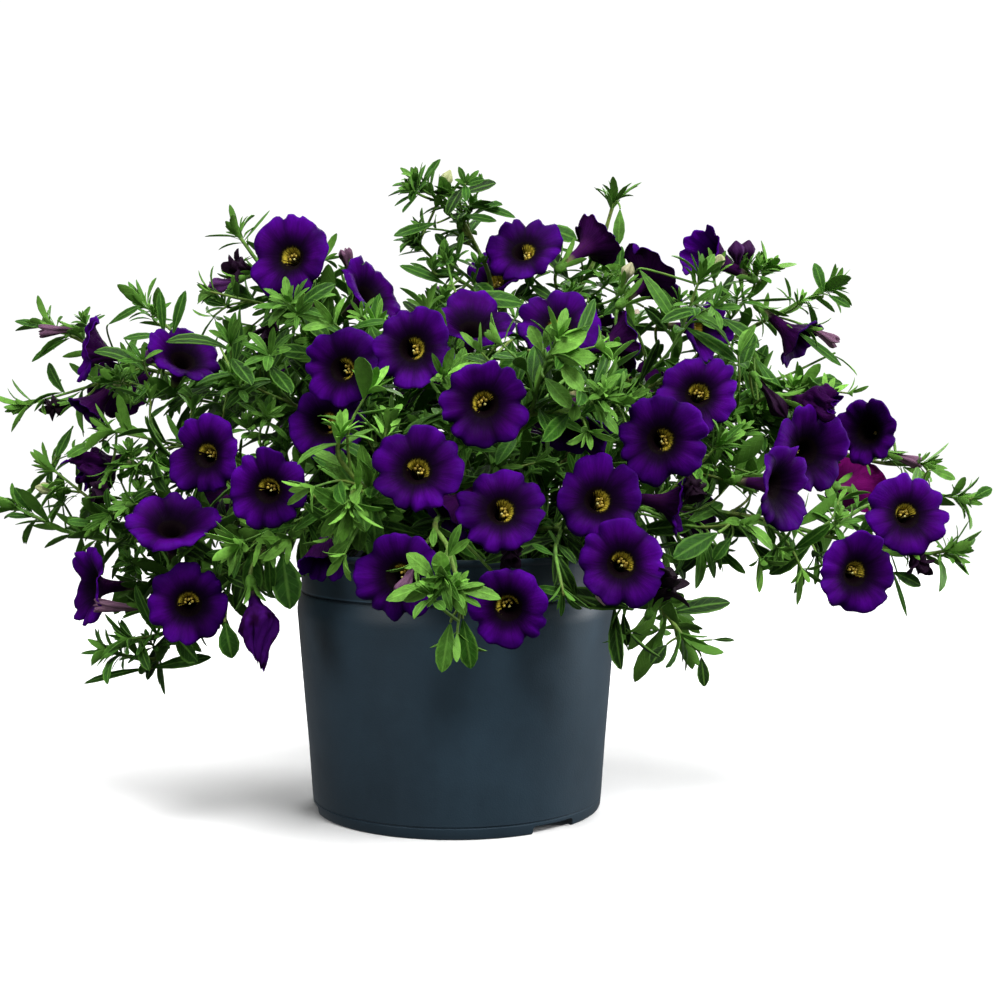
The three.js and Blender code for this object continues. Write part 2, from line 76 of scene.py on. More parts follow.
SHOOTS = {
    "left_high": {
        "stem": [
            (-10, 8, 92), (-28, 14, 130), (-60, 22, 158), (-96, 30, 172), (-135, 38, 178), (-178, 48, 197)],
        "sides": [
            [(-96, 30, 172), (-118, 34, 190), (-134, 38, 205)],
            [(-135, 38, 178), (-158, 36, 170), (-184, 32, 162)],
            [(-60, 22, 158), (-100, 8, 163), (-136, 0, 172)]],
        "flowers": [(-149, 20, 184, -64, 12, 29, "cup"), (-110, 0, 180, 32, 42, 29, "deep")]},
    "left_middle": {
        "stem": [
            (-13, 2, 92), (-32, -6, 118), (-60, -14, 126), (-95, -10, 112), (-130, 2, 107), (-162, 26, 108),
            (-192, 44, 118)],
        "sides": [
            [(-95, -10, 112), (-118, -6, 121), (-142, -4, 116)],
            [(-130, 2, 107), (-150, 12, 122), (-170, 20, 136)],
            [(-60, -14, 126), (-95, -14, 142), (-138, -10, 152)]],
        "flowers": [(-93, -45, 143, -20, 5, 29), (-107, -40, 115, 12, 55, 33, "deep")]},
    "left_low": {
        "stem": [
            (-9, -5, 92), (-28, -18, 110), (-52, -26, 114), (-76, -24, 104), (-94, -18, 88),
            (-110, -16, 74), (-118, -20, 62), (-136, -26, 66)],
        "sides": [
            [(-94, -18, 88), (-112, -12, 94), (-128, -8, 98)],
            [(-110, -16, 74), (-118, -28, 72), (-126, -34, 72)]],
        "flowers": [
            (-142, -15, 90, -58, 2, 30, "deep"), (-100, -45, 87, 8, 5, 29),
            (-72, -60, 86, 35, -66, 22, "folded")]},
    "front_left": {
        "stem": [
            (-8, -9, 92), (-20, -35, 116), (-28, -60, 127), (-28, -82, 130), (-38, -92, 143),
            (-37, -96, 152)],
        "sides": [
            [(-20, -35, 116), (-40, -45, 124), (-60, -50, 118), (-78, -62, 111)],
            [(-20, -35, 116), (-30, -22, 140), (-36, -20, 165), (-30, -28, 192)],
            [(-28, -82, 130), (-33, -96, 132), (-34, -100, 126)]],
        "flowers": [(-66, -70, 131, -10, 0, 29), (-48, -42, 155, -10, 10, 29), (-41, -50, 175, -15, 5, 29)],
    },
    "top_left": {
        "stem": [(-6, 6, 92), (-14, 8, 135), (-32, 8, 172), (-56, 10, 198), (-76, 12, 214), (-90, 12, 232)],
        "sides": [
            [(-56, 10, 198), (-80, 0, 203), (-98, -5, 207)],
            [(-32, 8, 172), (-50, -8, 186), (-63, -28, 201)],
            [(-14, 8, 135), (-50, -8, 155), (-86, -20, 172)]],
        "flowers": [(-65, -12, 220, -15, 10, 33), (-35, -5, 205, 58, 30, 31, "deep")]},
    "top": {
        "stem": [(-1, 9, 92), (2, 12, 130), (8, 16, 170), (14, 16, 205), (8, 14, 226), (-12, 10, 250)],
        "sides": [
            [(8, 14, 226), (2, 8, 238), (-3, 4, 248)], [(14, 16, 205), (4, 4, 214), (-4, -8, 219)],
            [(14, 16, 205), (-6, 12, 218), (-17, 4, 229)]],
        "flowers": [(7, -25, 191, 15, 50, 32, "deep")]},
    "top_right": {
        "stem": [(6, 11, 92), (18, 16, 130), (34, 20, 168), (46, 24, 200), (58, 26, 225), (65, 24, 247)],
        "sides": [[(34, 20, 168), (62, 8, 169), (84, -6, 182), (97, -10, 213)]],
        "flowers": [
            (27, 2, 224, -10, 35, 31), (54, 12, 227, 128, 32, 23, "cup"), (79, 8, 214, 118, 38, 33),
            (40, -20, 192, 0, 30, 32), (63, -2, 186, 110, 10, 26, "cup")]},
    "right_high": {
        "stem": [(10, 8, 92), (32, 16, 126), (64, 26, 158), (98, 34, 180), (130, 40, 198), (160, 45, 213)],
        "sides": [
            [(98, 34, 180), (116, 32, 200), (130, 28, 219)],
            [(98, 34, 180), (128, 30, 172), (158, 26, 184)]],
        "flowers": [(107, 15, 221, -62, 20, 29, "bell"), (140, 30, 192, 62, -40, 26, "spent")]},
    "right_middle": {
        "stem": [
            (13, 3, 92), (38, 2, 116), (74, 4, 136), (110, 8, 146), (146, 14, 144), (176, 12, 138),
            (191, 6, 138)],
        "sides": [
            [(110, 8, 146), (128, 10, 160), (141, 12, 170)], [(74, 4, 136), (98, 0, 150), (122, 0, 160)]],
        "flowers": [
            (93, -35, 166, 0, 15, 30), (137, -20, 144, 22, 5, 33, "deep"),
            (167, 5, 151, -40, 5, 26, "deep"), (163, 20, 129, 150, 0, 27, "flushed")]},
    "right_low": {
        "stem": [
            (11, -4, 92), (38, -20, 112), (72, -32, 122), (108, -36, 120), (142, -38, 112), (172, -46, 106),
            (186, -52, 108)],
        "sides": [
            [(142, -38, 112), (158, -26, 122), (178, -28, 128), (193, -38, 126)],
            [(72, -32, 122), (90, -46, 116), (106, -64, 119)],
            [(72, -32, 122), (88, -36, 134), (100, -42, 147)]],
        "flowers": [
            (118, -58, 132, 50, -5, 31, "deep"), (148, -60, 100, 20, 0, 30), (169, -50, 121, 10, 15, 30),
            (75, -72, 149, -5, 5, 31)]},
    "front_right": {
        "stem": [
            (7, -9, 92), (22, -36, 112), (40, -58, 116), (56, -68, 111), (68, -74, 100), (76, -76, 88),
            (84, -76, 77)],
        "sides": [
            [(40, -58, 116), (37, -80, 111), (37, -98, 107), (39, -105, 97)],
            [(68, -74, 100), (62, -80, 90), (60, -82, 80)]],
        "flowers": [
            (52, -82, 128, 5, 20, 30), (59, -98, 107, 0, 10, 29), (80, -52, 125, 80, -10, 24, "cup")]},
    "front": {
        "stem": [
            (0, -12, 92), (-2, -40, 113), (-4, -70, 121), (-5, -92, 119), (0, -106, 113), (-1, -123, 105)],
        "sides": [[(0, -106, 113), (4, -112, 98), (3, -114, 84)]],
        "flowers": [
            (-11, -95, 139, 0, 15, 30), (18, -92, 125, 3, 20, 30), (-17, -100, 103, -15, 5, 30),
            (20, -98, 92, -5, -5, 27)]},
    "front_upper": {
        "stem": [
            (3, -8, 92), (10, -26, 125), (20, -48, 145), (28, -66, 158), (32, -76, 172), (38, -82, 186)],
        "sides": [
            [(28, -66, 158), (44, -74, 160), (60, -80, 163)],
            [(10, -26, 125), (2, -42, 150), (-1, -60, 166), (-3, -80, 172)]],
        "flowers": [(12, -85, 162, 5, 5, 30), (-14, -66, 182, 0, 10, 29)]},
    "back_left": {
        "stem": [(-6, 14, 92), (-24, 38, 125), (-52, 70, 150), (-80, 100, 150), (-100, 124, 136)],
        "sides": [
            [(-24, 38, 125), (-48, 50, 160), (-66, 58, 190)],
            [(-52, 70, 150), (-90, 76, 160), (-128, 84, 168)],
            [(-52, 70, 150), (-60, 98, 128), (-68, 116, 100), (-70, 122, 78)]],
        "flowers": [(-92, 98, 174, -140, 20, 30), (-56, 122, 140, 170, 10, 30)]},
    "back_middle": {
        "stem": [(1, 17, 92), (2, 44, 125), (2, 76, 150), (4, 104, 150), (4, 117, 134)],
        "sides": [
            [(2, 44, 125), (-4, 52, 165), (-8, 60, 206)], [(2, 76, 150), (22, 88, 170), (36, 98, 186)],
            [(4, 106, 150), (-12, 118, 120), (-16, 126, 92)]],
        "flowers": [(-12, 92, 190, -170, 30, 30), (30, 126, 142, 160, 5, 30)]},
    "back_right": {
        "stem": [(8, 14, 92), (28, 38, 124), (58, 68, 146), (90, 94, 146), (118, 114, 132)],
        "sides": [
            [(28, 38, 124), (50, 48, 162), (72, 56, 196)], [(58, 68, 146), (96, 72, 160), (134, 78, 172)],
            [(58, 68, 146), (66, 98, 124), (74, 116, 96)]],
        "flowers": [(88, 110, 168, 145, 20, 30)]},
}

# Flowers that open in the mound's gaps and on its far side.
LATER_FLOWERS = {
    "top": [(16, 25, 214, -10, 40, 25, "cup")],
    "front_upper": [(46, -50, 154, 10, -58, 27, "cup")],
    "right_high": [(99, 14, 193, 48, -8, 28, "cup")],
    "front_left": [(-45, -72, 110, -10, -50, 22, "bell")],
    "front": [(0, -70, 125, -60, -30, 27, "cup")],
    "back_left": [(-112, 104, 118, -150, 0, 29), (-38, 112, 96, 175, -5, 28)],
    "back_middle": [(-20, 118, 164, 185, 20, 30), (34, 110, 92, 170, -5, 28)],
    "back_right": [(62, 118, 118, 165, 0, 30), (108, 98, 112, 130, 0, 28), (62, 86, 196, 150, 35, 29)],
    "left_high": [(-150, 60, 170, -150, 15, 28), (-148, 8, 162, -60, -45, 22, "spent")],
    "left_middle": [(-141, 3, 138, -70, -25, 22, "withered")],
    "right_middle": [(150, 52, 150, 140, 15, 28), (138, -14, 163, 72, -10, 17, "withered")],
}

# Buds and spent flowers: x, y, z of the middle, the way it points in x, y, z, its length and
# its age, from 0 for a green bud through 0.6 for one about to open to 1 for a spent flower.
BUDS = {
    "left_high": [
        (-172, 40, 194, -1, -0.3, -0.1, 15, 0.45), (-171, 30, 161, -1, -0.3, -0.3, 14, 1.0),
        (-126, 15, 183, 0.1, -1, -0.6, 13, 0.7), (-136, 0, 170, -0.4, -0.5, 1, 10, 0.05)],
    "left_middle": [
        (-142, -10, 128, -0.4, -0.5, -1, 15, 0.9), (-131, -5, 138, -1, -0.4, 0.4, 10, 0.05),
        (-171, 20, 127, -1, -0.2, 0.1, 11, 0.1)],
    "left_low": [(-131, -25, 83, -1, -0.4, 0.1, 19, 0.38)],
    "top_left": [
        (-89, 5, 217, -1, -0.4, 0.2, 16, 0.9), (-94, 0, 210, -1, -0.4, -0.4, 13, 0.6),
        (-74, -10, 191, -0.4, -0.5, -1, 15, 0.9), (-43, -5, 218, -0.3, -0.3, 1, 12, 0.45),
        (-58, -20, 198, 0.2, -0.5, 1, 12, 0.3)],
    "top": [(-5, 4, 251, 0.4, -0.3, 1, 12, 0.1)],
    "top_right": [(68, -2, 214, 0.3, -0.5, 1, 11, 0.2)],
    "right_high": [
        (120, 25, 225, 0.1, -0.3, 1, 12, 0.75), (115, 18, 224, -0.2, -0.4, 1, 12, 0.7),
        (105, 2, 219, 0.1, -0.8, 0.7, 9, 0.12), (153, 25, 191, 0.7, -0.3, -0.4, 13, 0.4)],
    "right_middle": [
        (144, 5, 162, 1, -0.6, 0.1, 21, 0.95), (125, -12, 165, 0.6, -0.4, -0.8, 20, 0.85),
        (183, 8, 140, 1, -0.4, -0.3, 14, 0.4)],
    "right_low": [(88, -60, 131, 0.2, -0.7, -1, 15, 0.95), (174, -50, 103, 0.6, -0.4, -1, 14, 0.9)],
    "front_right": [(75, -92, 99, 0.5, -0.2, 0.9, 21, 1.0), (53, -85, 97, 0.1, -0.6, -1, 13, 0.3)],
    "front": [(21, -80, 109, 0.1, -0.8, -1, 14, 0.9), (-14, -106, 102, -0.5, -0.8, -1, 13, 0.45)],
    "back_left": [(-84, 104, 150, -0.6, 1, 0.3, 14, 0.6), (-60, 112, 112, -0.2, 1, -0.6, 14, 0.95)],
    "back_middle": [(10, 112, 138, 0.2, 1, 0.2, 13, 0.2), (-10, 66, 210, -0.3, 0.5, 1, 12, 0.6)],
    "back_right": [(100, 92, 152, 0.6, 1, 0.3, 14, 0.9), (76, 62, 200, 0.4, 0.5, 1, 12, 0.3)],
}

# Broad leaves that stand free of the mound: x, y, z of the base, then of the tip, the width and
# the age, from 0 for an old dark leaf to 1 for a young one; a low age also stands for painted shade on
# leaves that lie in shade.
BROAD_LEAVES = {
    "left_high": [
        (-172, 45, 195, -191, 42, 199, 4, 0.35), (-167, 42, 191, -185, 38, 183, 3.5, 0.3),
        (-144, 15, 195, -130, 10, 203, 4, 0.35), (-119, 6, 190, -120, 2, 208, 4, 0.4),
        (-115, 4, 190, -110, 0, 208, 4.5, 0.4), (-119, 2, 190, -134, -2, 190, 3.5, 0.4)],
    "left_middle": [
        (-160, 18, 153, -166, 14, 141, 4.5, 0.3), (-144, -2, 147, -156, -8, 143, 5, 0.55),
        (-145, -6, 114, -155, -10, 116, 4, 0.45), (-184, 40, 114, -194, 36, 116, 3, 0.3),
        (-184, 40, 116, -190, 36, 127, 5, 0.35), (-174, 30, 122, -173, 28, 136, 3, 0.3),
        (-167, 26, 121, -168, 24, 134, 4, 0.3)],
    "left_low": [
        (-119, -24, 59, -95, -30, 65, 5.5, 0.5), (-119, -24, 59, -148, -26, 56, 3, 0.35),
        (-86, -46, 80, -83, -50, 67, 8, 0.4)],
    "front_left": [
        (-63, -54, 107, -59, -66, 88, 11, 0.22), (-76, -46, 107, -75, -50, 91, 8, 0.3),
        (-31, -90, 131, -29, -96, 118, 7, 0.4)],
    "top": [
        (-8, 2, 235, -25, -4, 230, 5, 0.35), (5, 4, 242, 24, 0, 240, 4, 0.45),
        (2, 2, 238, 16, -2, 236, 4, 0.4), (2, -14, 204, 27, -16, 204, 8.5, 0.4),
        (-4, 0, 210, -22, -4, 219, 4.5, 0.4), (-3, 6, 224, -8, 2, 231, 4.5, 0.35)],
    "top_right": [
        (35, 14, 235, 49, 12, 230, 8, 0.5), (59, 4, 198, 69, 2, 206, 6, 0.25),
        (73, 8, 192, 63, 6, 202, 6, 0.15), (76, 10, 202, 86, 6, 194, 6, 0.2),
        (53, 8, 204, 46, 4, 195, 6, 0.15), (60, 6, 189, 67, 4, 180, 6, 0.15),
        (40, 6, 204, 31, 4, 211, 5, 0.3), (67, 20, 243, 66, 16, 228, 5, 0.7),
        (72, -14, 215, 86, -20, 196, 5.5, 0.55), (91, -5, 193, 112, -14, 181, 6, 0.5),
        (93, -4, 200, 104, -10, 194, 6, 0.6), (107, 5, 197, 124, 2, 187, 7, 0.3)],
    "right_high": [
        (141, 24, 193, 160, 20, 179, 4, 0.3), (155, 38, 209, 152, 36, 223, 5, 0.4),
        (157, 38, 209, 166, 34, 204, 4, 0.3)],
    "right_middle": [(121, 5, 181, 132, 0, 165, 5, 0.4)],
    "right_low": [
        (97, -62, 115, 80, -70, 107, 8.5, 0.3), (102, -60, 113, 95, -64, 106, 5, 0.35),
        (181, -38, 137, 190, -40, 134, 4, 0.6), (195, -46, 127, 201, -48, 131, 4.5, 0.4),
        (164, -47, 101, 170, -52, 83, 1.8, 0.2), (165, -46, 99, 175, -50, 95, 5.5, 0.15)],
    "front_right": [
        (63, -84, 90, 40, -82, 96, 8.5, 0.1), (77, -76, 87, 99, -80, 94, 6.5, 0.12),
        (77, -76, 76, 71, -80, 70, 5.5, 0.1), (89, -78, 72, 90, -82, 62, 4.5, 0.25),
        (61, -82, 88, 62, -86, 77, 4, 0.15), (93, -78, 78, 100, -82, 79, 1.8, 0.2)],
    "front": [
        (-2, -118, 103, -20, -122, 98, 5.5, 0.85), (-1, -118, 102, 18, -122, 100, 5, 0.8),
        (1, -114, 89, -2, -118, 73, 6.5, 0.5), (5, -112, 90, 8, -114, 73, 7, 0.3),
        (-4, -118, 104, -12, -124, 113, 6, 0.85), (-2, -120, 104, -2, -126, 113, 6, 0.9)],
    "front_upper": [
        (35, -84, 179, 47, -88, 187, 8, 0.9), (28, -42, 182, 15, -44, 172, 8, 0.25),
        (22, -38, 186, 20, -40, 173, 7, 0.2), (36, -84, 177, 50, -90, 179, 7.5, 0.75),
        (38, -86, 176, 46, -92, 167, 6.5, 0.85), (32, -84, 180, 28, -86, 189, 5, 0.7),
        (33, -80, 181, 36, -82, 190, 5, 0.65), (33, -80, 171, 42, -88, 161, 6.5, 0.6),
        (44, -84, 162, 43, -86, 156, 4.5, 0.7), (50, -84, 162, 59, -88, 152, 4, 0.7),
        (50, -84, 163, 58, -88, 173, 3.5, 0.75)],
}

# Young tufts on short stalks of their own: x, y, z of the middle, the way the tuft points in
# x, y, z, and the length of its leaves.
TUFTS = {
    "left_high": [
        (-135, -5, 173, -0.3, -0.4, 1, 9), (-129, 30, 201, 0.1, -0.4, 1, 9),
        (-160, 38, 198, -0.4, -0.3, 1, 8)],
    "left_middle": [
        (-143, -2, 151, -0.2, -0.5, 1, 10), (-129, -12, 143, -0.1, -0.6, 0.8, 9),
        (-158, 8, 144, -0.7, -0.4, 0.7, 9), (-125, -14, 128, 0, -0.7, 0.7, 8),
        (-166, 20, 123, -0.6, -0.3, 1, 8)],
    "left_low": [
        (-128, -22, 101, -0.5, -0.6, 0.5, 8), (-119, -26, 70, -0.4, -0.5, 0.8, 9),
        (-131, -28, 66, -0.7, -0.4, 0.5, 8)],
    "top_left": [
        (-84, -24, 171, -0.1, -0.5, 1, 11), (-63, -34, 201, 0, -0.8, 0.8, 11),
        (-80, -28, 154, -0.2, -0.6, 0.8, 10), (-72, -30, 158, 0.3, -0.6, 0.7, 10),
        (-94, -10, 186, -0.4, -0.4, 0.9, 9), (-94, 0, 203, -0.6, -0.3, 0.8, 8)],
    "top": [
        (-2, 4, 244, 0.4, -0.3, 1, 8), (-10, 0, 217, -0.2, -0.4, 1, 9), (-18, 6, 230, -0.6, -0.3, 0.8, 8),
        (9, 0, 219, 0.2, -0.5, 1, 8), (-16, 4, 252, -0.5, -0.5, 1, 11), (-18, 0, 248, -0.9, -0.5, 0.6, 9),
        (6, 10, 244, 0.4, -0.3, 1, 7), (-5, -2, 205, 0, -0.5, 1, 9), (15, 8, 230, 0.3, -0.4, 1, 8)],
    "top_right": [
        (74, 10, 218, 0.3, -0.4, 1, 8), (89, -5, 204, 0.2, -0.5, 1, 9), (46, 4, 208, 0.1, -0.5, 1, 9),
        (60, 8, 212, 0.2, -0.5, 1, 9)],
    "right_high": [
        (125, 22, 219, 0.2, -0.4, 1, 10), (115, 15, 207, 0, -0.5, 0.9, 9),
        (144, 30, 206, 0.5, -0.3, 0.9, 8)],
    "right_middle": [
        (112, -18, 152, 0.2, -0.6, 0.9, 9), (136, 4, 170, 0.3, -0.4, 0.9, 9),
        (116, -22, 137, 0.2, -0.7, 0.5, 8)],
    "right_low": [
        (144, -46, 119, 0.2, -0.6, 0.6, 8), (121, -52, 108, 0.3, -0.6, -0.3, 8),
        (185, -50, 108, 0.5, -0.4, 0.9, 9)],
    "front_upper": [(54, -84, 166, 0.4, -0.6, 0.8, 9)],
    "front": [(-5, -123, 100, -0.3, -0.5, 1, 10), (3, -121, 102, 0.4, -0.5, 1, 9)],
    "front_left": [(-34, -90, 128, 0.1, -0.7, 0.5, 9)],
}

# How much lighter or darker the leaves of a shoot are than those of the others: partly their age, and
# partly painted shade on shoots whose leaves lie in shade.
LEAF_AGE_AND_SHADE = {
    "front": 0.04, "front_upper": 0.1, "front_left": 0.26, "top_right": -0.12, "top": -0.2,
    "left_high": -0.12, "left_middle": -0.08, "left_low": -0.25, "right_high": 0.02,
    "right_middle": 0.06,
    "right_low": 0.0, "front_right": -0.42,
}

# Shoots whose leaves are smaller than those of the others, and how much.
SMALL_LEAVED = {"top": 0.72}

# Shoots that have fewer leaves than the others, and the share that they have.
SPARSE = {"front_right": 0.5}

# Side stems, by shoot and number, that hang nearly bare.
BARE_STEMS = {("front", 1)}

# How far the limb's edge stands in front of the throat, as a share of its radius, how wide it
# is, and how soon the limb flares.
FORMS = {
    "open": (0.12, 1.0, 2.1), "cup": (0.5, 0.92, 1.5), "bell": (1.15, 0.72, 1.15),
    "deep": (0.3, 1.0, 1.8), "flushed": (0.5, 0.92, 1.5), "spent": (0.62, 0.86, 1.3),
    "folded": (2.7, 0.62, 1.0), "withered": (1.6, 0.7, 1.0),
}
# The forms whose lobes have fallen together, and how far they shut at their end.
SHUT_FORMS = {"folded": 0.9, "withered": 0.25}
TUBE_LENGTH = 15.0
SHUT_TUBE_LENGTH = 7.5
# What a flower's tone says to its materials: a deep one has its throat painted dark all over, as painted
# shade, in place of its gold; a flushed one has a magenta back and a folded one a brighter, patchy back.
# The others draw a tone of their own.
FORM_TONES = {"deep": 1.0, "flushed": 0.88, "spent": 1.0, "folded": 0.965, "withered": 1.0}
DRAWN_TONE = 0.8
HIDDEN_TONE = 0.93
# How light the petals of a form are, where they are darker than the others.
FORM_LIGHTS = {"deep": 0.86, "spent": 0.55}
# Between these ages a bud's place has a faded flower, an open-ended tube with a ragged edge. A
# bud crumples past the spent age, and curled dry lobes stand around it from the dry age on.
FADED = (0.3, 0.5)
SPENT_AGE = 0.8
DRY_AGE = 0.9
DRY_LOBES = 8
DRY_LOBE_WIDTH = 5.4

# Corolla rings of an open flower 30 mm wide: share of the way from foot to edge, radius, height.
THROAT = 0.34
THROAT_RADIUS = 3.9
THROAT_HEIGHT = -1.2
EDGE_RADIUS = 15.0
COROLLA_SEGMENTS = 80
COROLLA_RINGS = [
    (0.0, 0.6, -15.0), (0.05, 1.2, -14.8), (0.13, 1.7, -10.5), (0.21, 2.2, -5.8),
    (0.28, 3.0, -2.9), (THROAT, THROAT_RADIUS, THROAT_HEIGHT), (0.39, 4.9, -0.1), (0.46, 6.1, 0.6),
    (0.53, 7.3, 1.1), (0.6, 8.5, 1.4), (0.67, 9.6, 1.6), (0.74, 10.8, 1.7),
    (0.81, 12.0, 1.8), (0.88, 13.1, 1.8), (0.94, 14.1, 1.8), (1.0, EDGE_RADIUS, 1.8),
]
# Waves on the flower's edge: crests around it, height as a share of its radius, and the draw
# that sets them off.
EDGE_WAVES = ((3, 0.014, 24), (11, 0.018, 25), (7, 0.014, 23), (17, 0.01, 31))
# Where the limb of a shut flower is widest, as a share of the way to its edge.
WIDEST = 0.3
# How far a flower may be rolled around its axis, from one side to the other, in radians.
ROLL_SPREAD = 1.3
# Heights of the anthers and of their threads' feet in the tube, the way that an anther leans,
# and how far down all of it stands in a deep flower.
ANTHER_HEIGHT = -3.3
THREAD_FOOT = -12.0
ANTHER_LEAN = np.array((0.4, 0.3, 0.8))
HIDDEN_DEPTH = 3.4
CALYX_LENGTH = 6.0
CALYX_GAP = 0.3

# The mound that the twigs fill: its middle, and its reach towards -X, -Y, -Z and +X, +Y, +Z.
MOUND_MIDDLE = np.array((5.0, 0.0, 118.0))
MOUND_LOWER = np.array((150.0, 112.0, 62.0))
MOUND_UPPER = np.array((172.0, 112.0, 132.0))
# A shoot's main stem starts inside the peat, at this height.
ROOT_HEIGHT = 86.3
KNOT_SPACING = 9.5
KNOT_SWELL = 0.16
TWIG_START = 12.0
TWIG_SPACING = 8.0
TWIG_LEAF_SPACING = 5.6
TWIG_POINTS = 8
# A stalk leaves the stems behind its end, by one of these lengths.
PEDICEL_REACH = 15.0
LEAF_STALK_REACH = 5
TUFT_STALK_REACH = 10
BUD_STALK_REACH = 12
STALK_POINTS = 9
# The leaves that the frame has too: from leaf to leaf, and from the last one to the tip.
FRAMED_SPACING = 19
FRAMED_REST = 9.5
TUFT_LEAVES = 15
BROAD_LEAVES_FACE = (0.0, -0.85, 0.55)
# Blades are smooth, but for edges that turn by more than this many degrees.
BLADE_ANGLE = 62

# Where no leaf may stand: in a flower's limb or tube, this far in front of a flower, in the pot
# and its peat, under the lowest height, or this far outside the frame's box.
LIMB_DEPTH = 2.5
TUBE_DEPTH = 16
TUBE_RADIUS = 4.6
CLEARANCE = 15
CLEARANCES = {"deep": 25}
WALL_INSIDE = 59
WALL_OUTSIDE = 66.5
RIM_TOP = 106.5
PEAT_TOP = 95
LOWEST_LEAF = 3
FREE_MARGIN = 7

# Outline of the pot's wall, from the foot's inner edge out, up, over the rim and down inside.
POT_OUTLINE = [
    (54.6, 0.6), (54.9, 0.0), (57.2, 0.0), (57.8, 0.3), (58.2, 1.1), (58.5, 4.1), (58.15, 4.4),
    (58.15, 4.8), (58.6, 5.1), (60.0, 26.0), (61.7, 46.0), (63.2, 65.0), (63.95, 75.0),
    (64.3, 79.0), (64.35, 81.0), (64.1, 83.0), (63.65, 85.0), (63.2, 86.9), (62.95, 87.5),
    (62.2, 87.7), (62.2, 88.0), (62.65, 88.3), (62.6, 90.0),
    (62.6, 101.6), (62.7, 102.3), (63.4, 102.9), (63.75, 103.4), (63.75, 104.4), (63.4, 104.95),
    (62.2, 105.0), (61.5, 104.8), (61.4, 104.2), (61.4, 88.4), (63.2, 81.2), (62.0, 62.0),
    (60.4, 42.0), (58.8, 24.0), (57.1, 6.4), (56.0, 4.9), (54.0, 4.7), (30.0, 4.7), (3.0, 4.7),
]
POT_UNDERSIDE = [(3.0, 3.5), (30.0, 3.5), (53.4, 3.5), (54.3, 3.2)]
# The notches in the foot: bearings in degrees, distance from the axis, the sides of the block
# that cuts one and how far its edges are rounded.
NOTCH_BEARINGS = (-49, 71, 191)
NOTCH_REACH = 57
NOTCH_SIZE = (10, 20.5, 6.4)
NOTCH_ROUNDING = 1.3
# The drain holes: bearings, distance from the axis, radius, and the middle and length of the pin
# that cuts one.
DRAIN_BEARINGS = (0, 60, 120, 180, 240, 300)
DRAIN_REACH = 40
DRAIN_RADIUS = 4
DRAIN_HEIGHT = 4
DRAIN_DEPTH = 6
# Outline of the peat, from its bottom up and in over its top, and the heights that its bottom
# lies under and its lumpy top over.
SOIL_OUTLINE = [
    (56.5, 5.2), (57.4, 20.0), (60.4, 56.0), (62.6, 80.8), (61.0, 88.4), (60.9, 91.6),
    (59.8, 92.4), (57.0, 92.6), (53.5, 92.8), (50.0, 92.9), (46.5, 93.0), (43.0, 93.1),
    (39.5, 93.2), (36.0, 93.3), (32.5, 93.4), (29.0, 93.5), (25.5, 93.6), (22.0, 93.7),
    (18.5, 93.8), (15.0, 93.9), (11.5, 93.9), (8.0, 94.0), (4.5, 94.0), (1.5, 94.0),
]
PEAT_BOTTOM = 5.3
PEAT_SURFACE = 91

# Fixed colours, beside those in the settings.
# The colour that the petals' edge is mixed towards: partly its own bluer rim, partly a painted highlight.
RIM_BLUE_AND_HIGHLIGHT = (0.078, 0.003, 0.35)
# The darkest colour: the dark eye at the throat's mouth, the foot of the tube, and painted shade over the
# throat.
DARKEST = (0.0035, 0.0015, 0.0025)
TUBE_FOOT = (0.3, 0.32, 0.12)
MAGENTA_BACK = (0.23, 0.004, 0.17)
FOLDED_BACK = (0.05, 0.004, 0.13)
WOODY = (0.16, 0.1, 0.03)
POLLEN = ((0.13, 0.085, 0.006), (0.62, 0.46, 0.07))
CREAM = ((0.4, 0.38, 0.1), (0.6, 0.54, 0.2))
BUD_FOOT = (0.35, 0.36, 0.14)
BUD_AGES = (
    (0.0, (0.42, 0.5, 0.2)), (0.25, (0.46, 0.42, 0.28)), (0.36, (0.17, 0.085, 0.14)),
    (0.46, (0.12, 0.055, 0.1)), (0.62, (0.055, 0.008, 0.085)), (0.82, (0.018, 0.003, 0.021)),
    (1.0, (0.007, 0.002, 0.006)),
)
PALE_GRAIN = (0.62, 0.6, 0.55)
# Painted shade on the pot by its height in decimetres: darker towards the foot and over the sloping
# shoulder under the rim.
POT_PAINTED_SHADE = (
    (0.0, 0.58), (0.15, 0.655), (0.3, 0.8), (0.45, 0.9), (0.78, 0.93), (0.82, 0.8),
    (0.875, 0.72), (0.9, 0.66), (1.0, 0.76),
)

# The stage, in metres and watts: each lamp's name, place, what it points at, width and power.
LAMPS = (
    ("key", (0.75, -1.15, 1.45), (0, 0, 0.14), 0.8, 42),
    ("top", (-0.35, -0.15, 1.7), (0, 0, 0.12), 1.2, 30),
    ("fill", (-1.3, -1.2, 0.6), (0, 0, 0.12), 1.0, 11),
    ("back", (0.3, 1.5, 1.1), (0, 0, 0.15), 0.9, 20),
    ("side", (1.15, 0.15, 0.35), (0, 0, 0.08), 0.8, 15),
)
# How strong the room is as a light, and what is added where it is seen or mirrored.
ROOM_LIGHT = 0.12
SEEN_LIGHT = 0.93
MIRRORED_LIGHT = 0.1
FLOOR_RADIUS = 1.2
LENS = 55.8
SENSOR_WIDTH = 36
CAMERA_PLACE = (0.0174, -0.626, 0.1575)
CAMERA_DIP = 3.1

# -------- settings


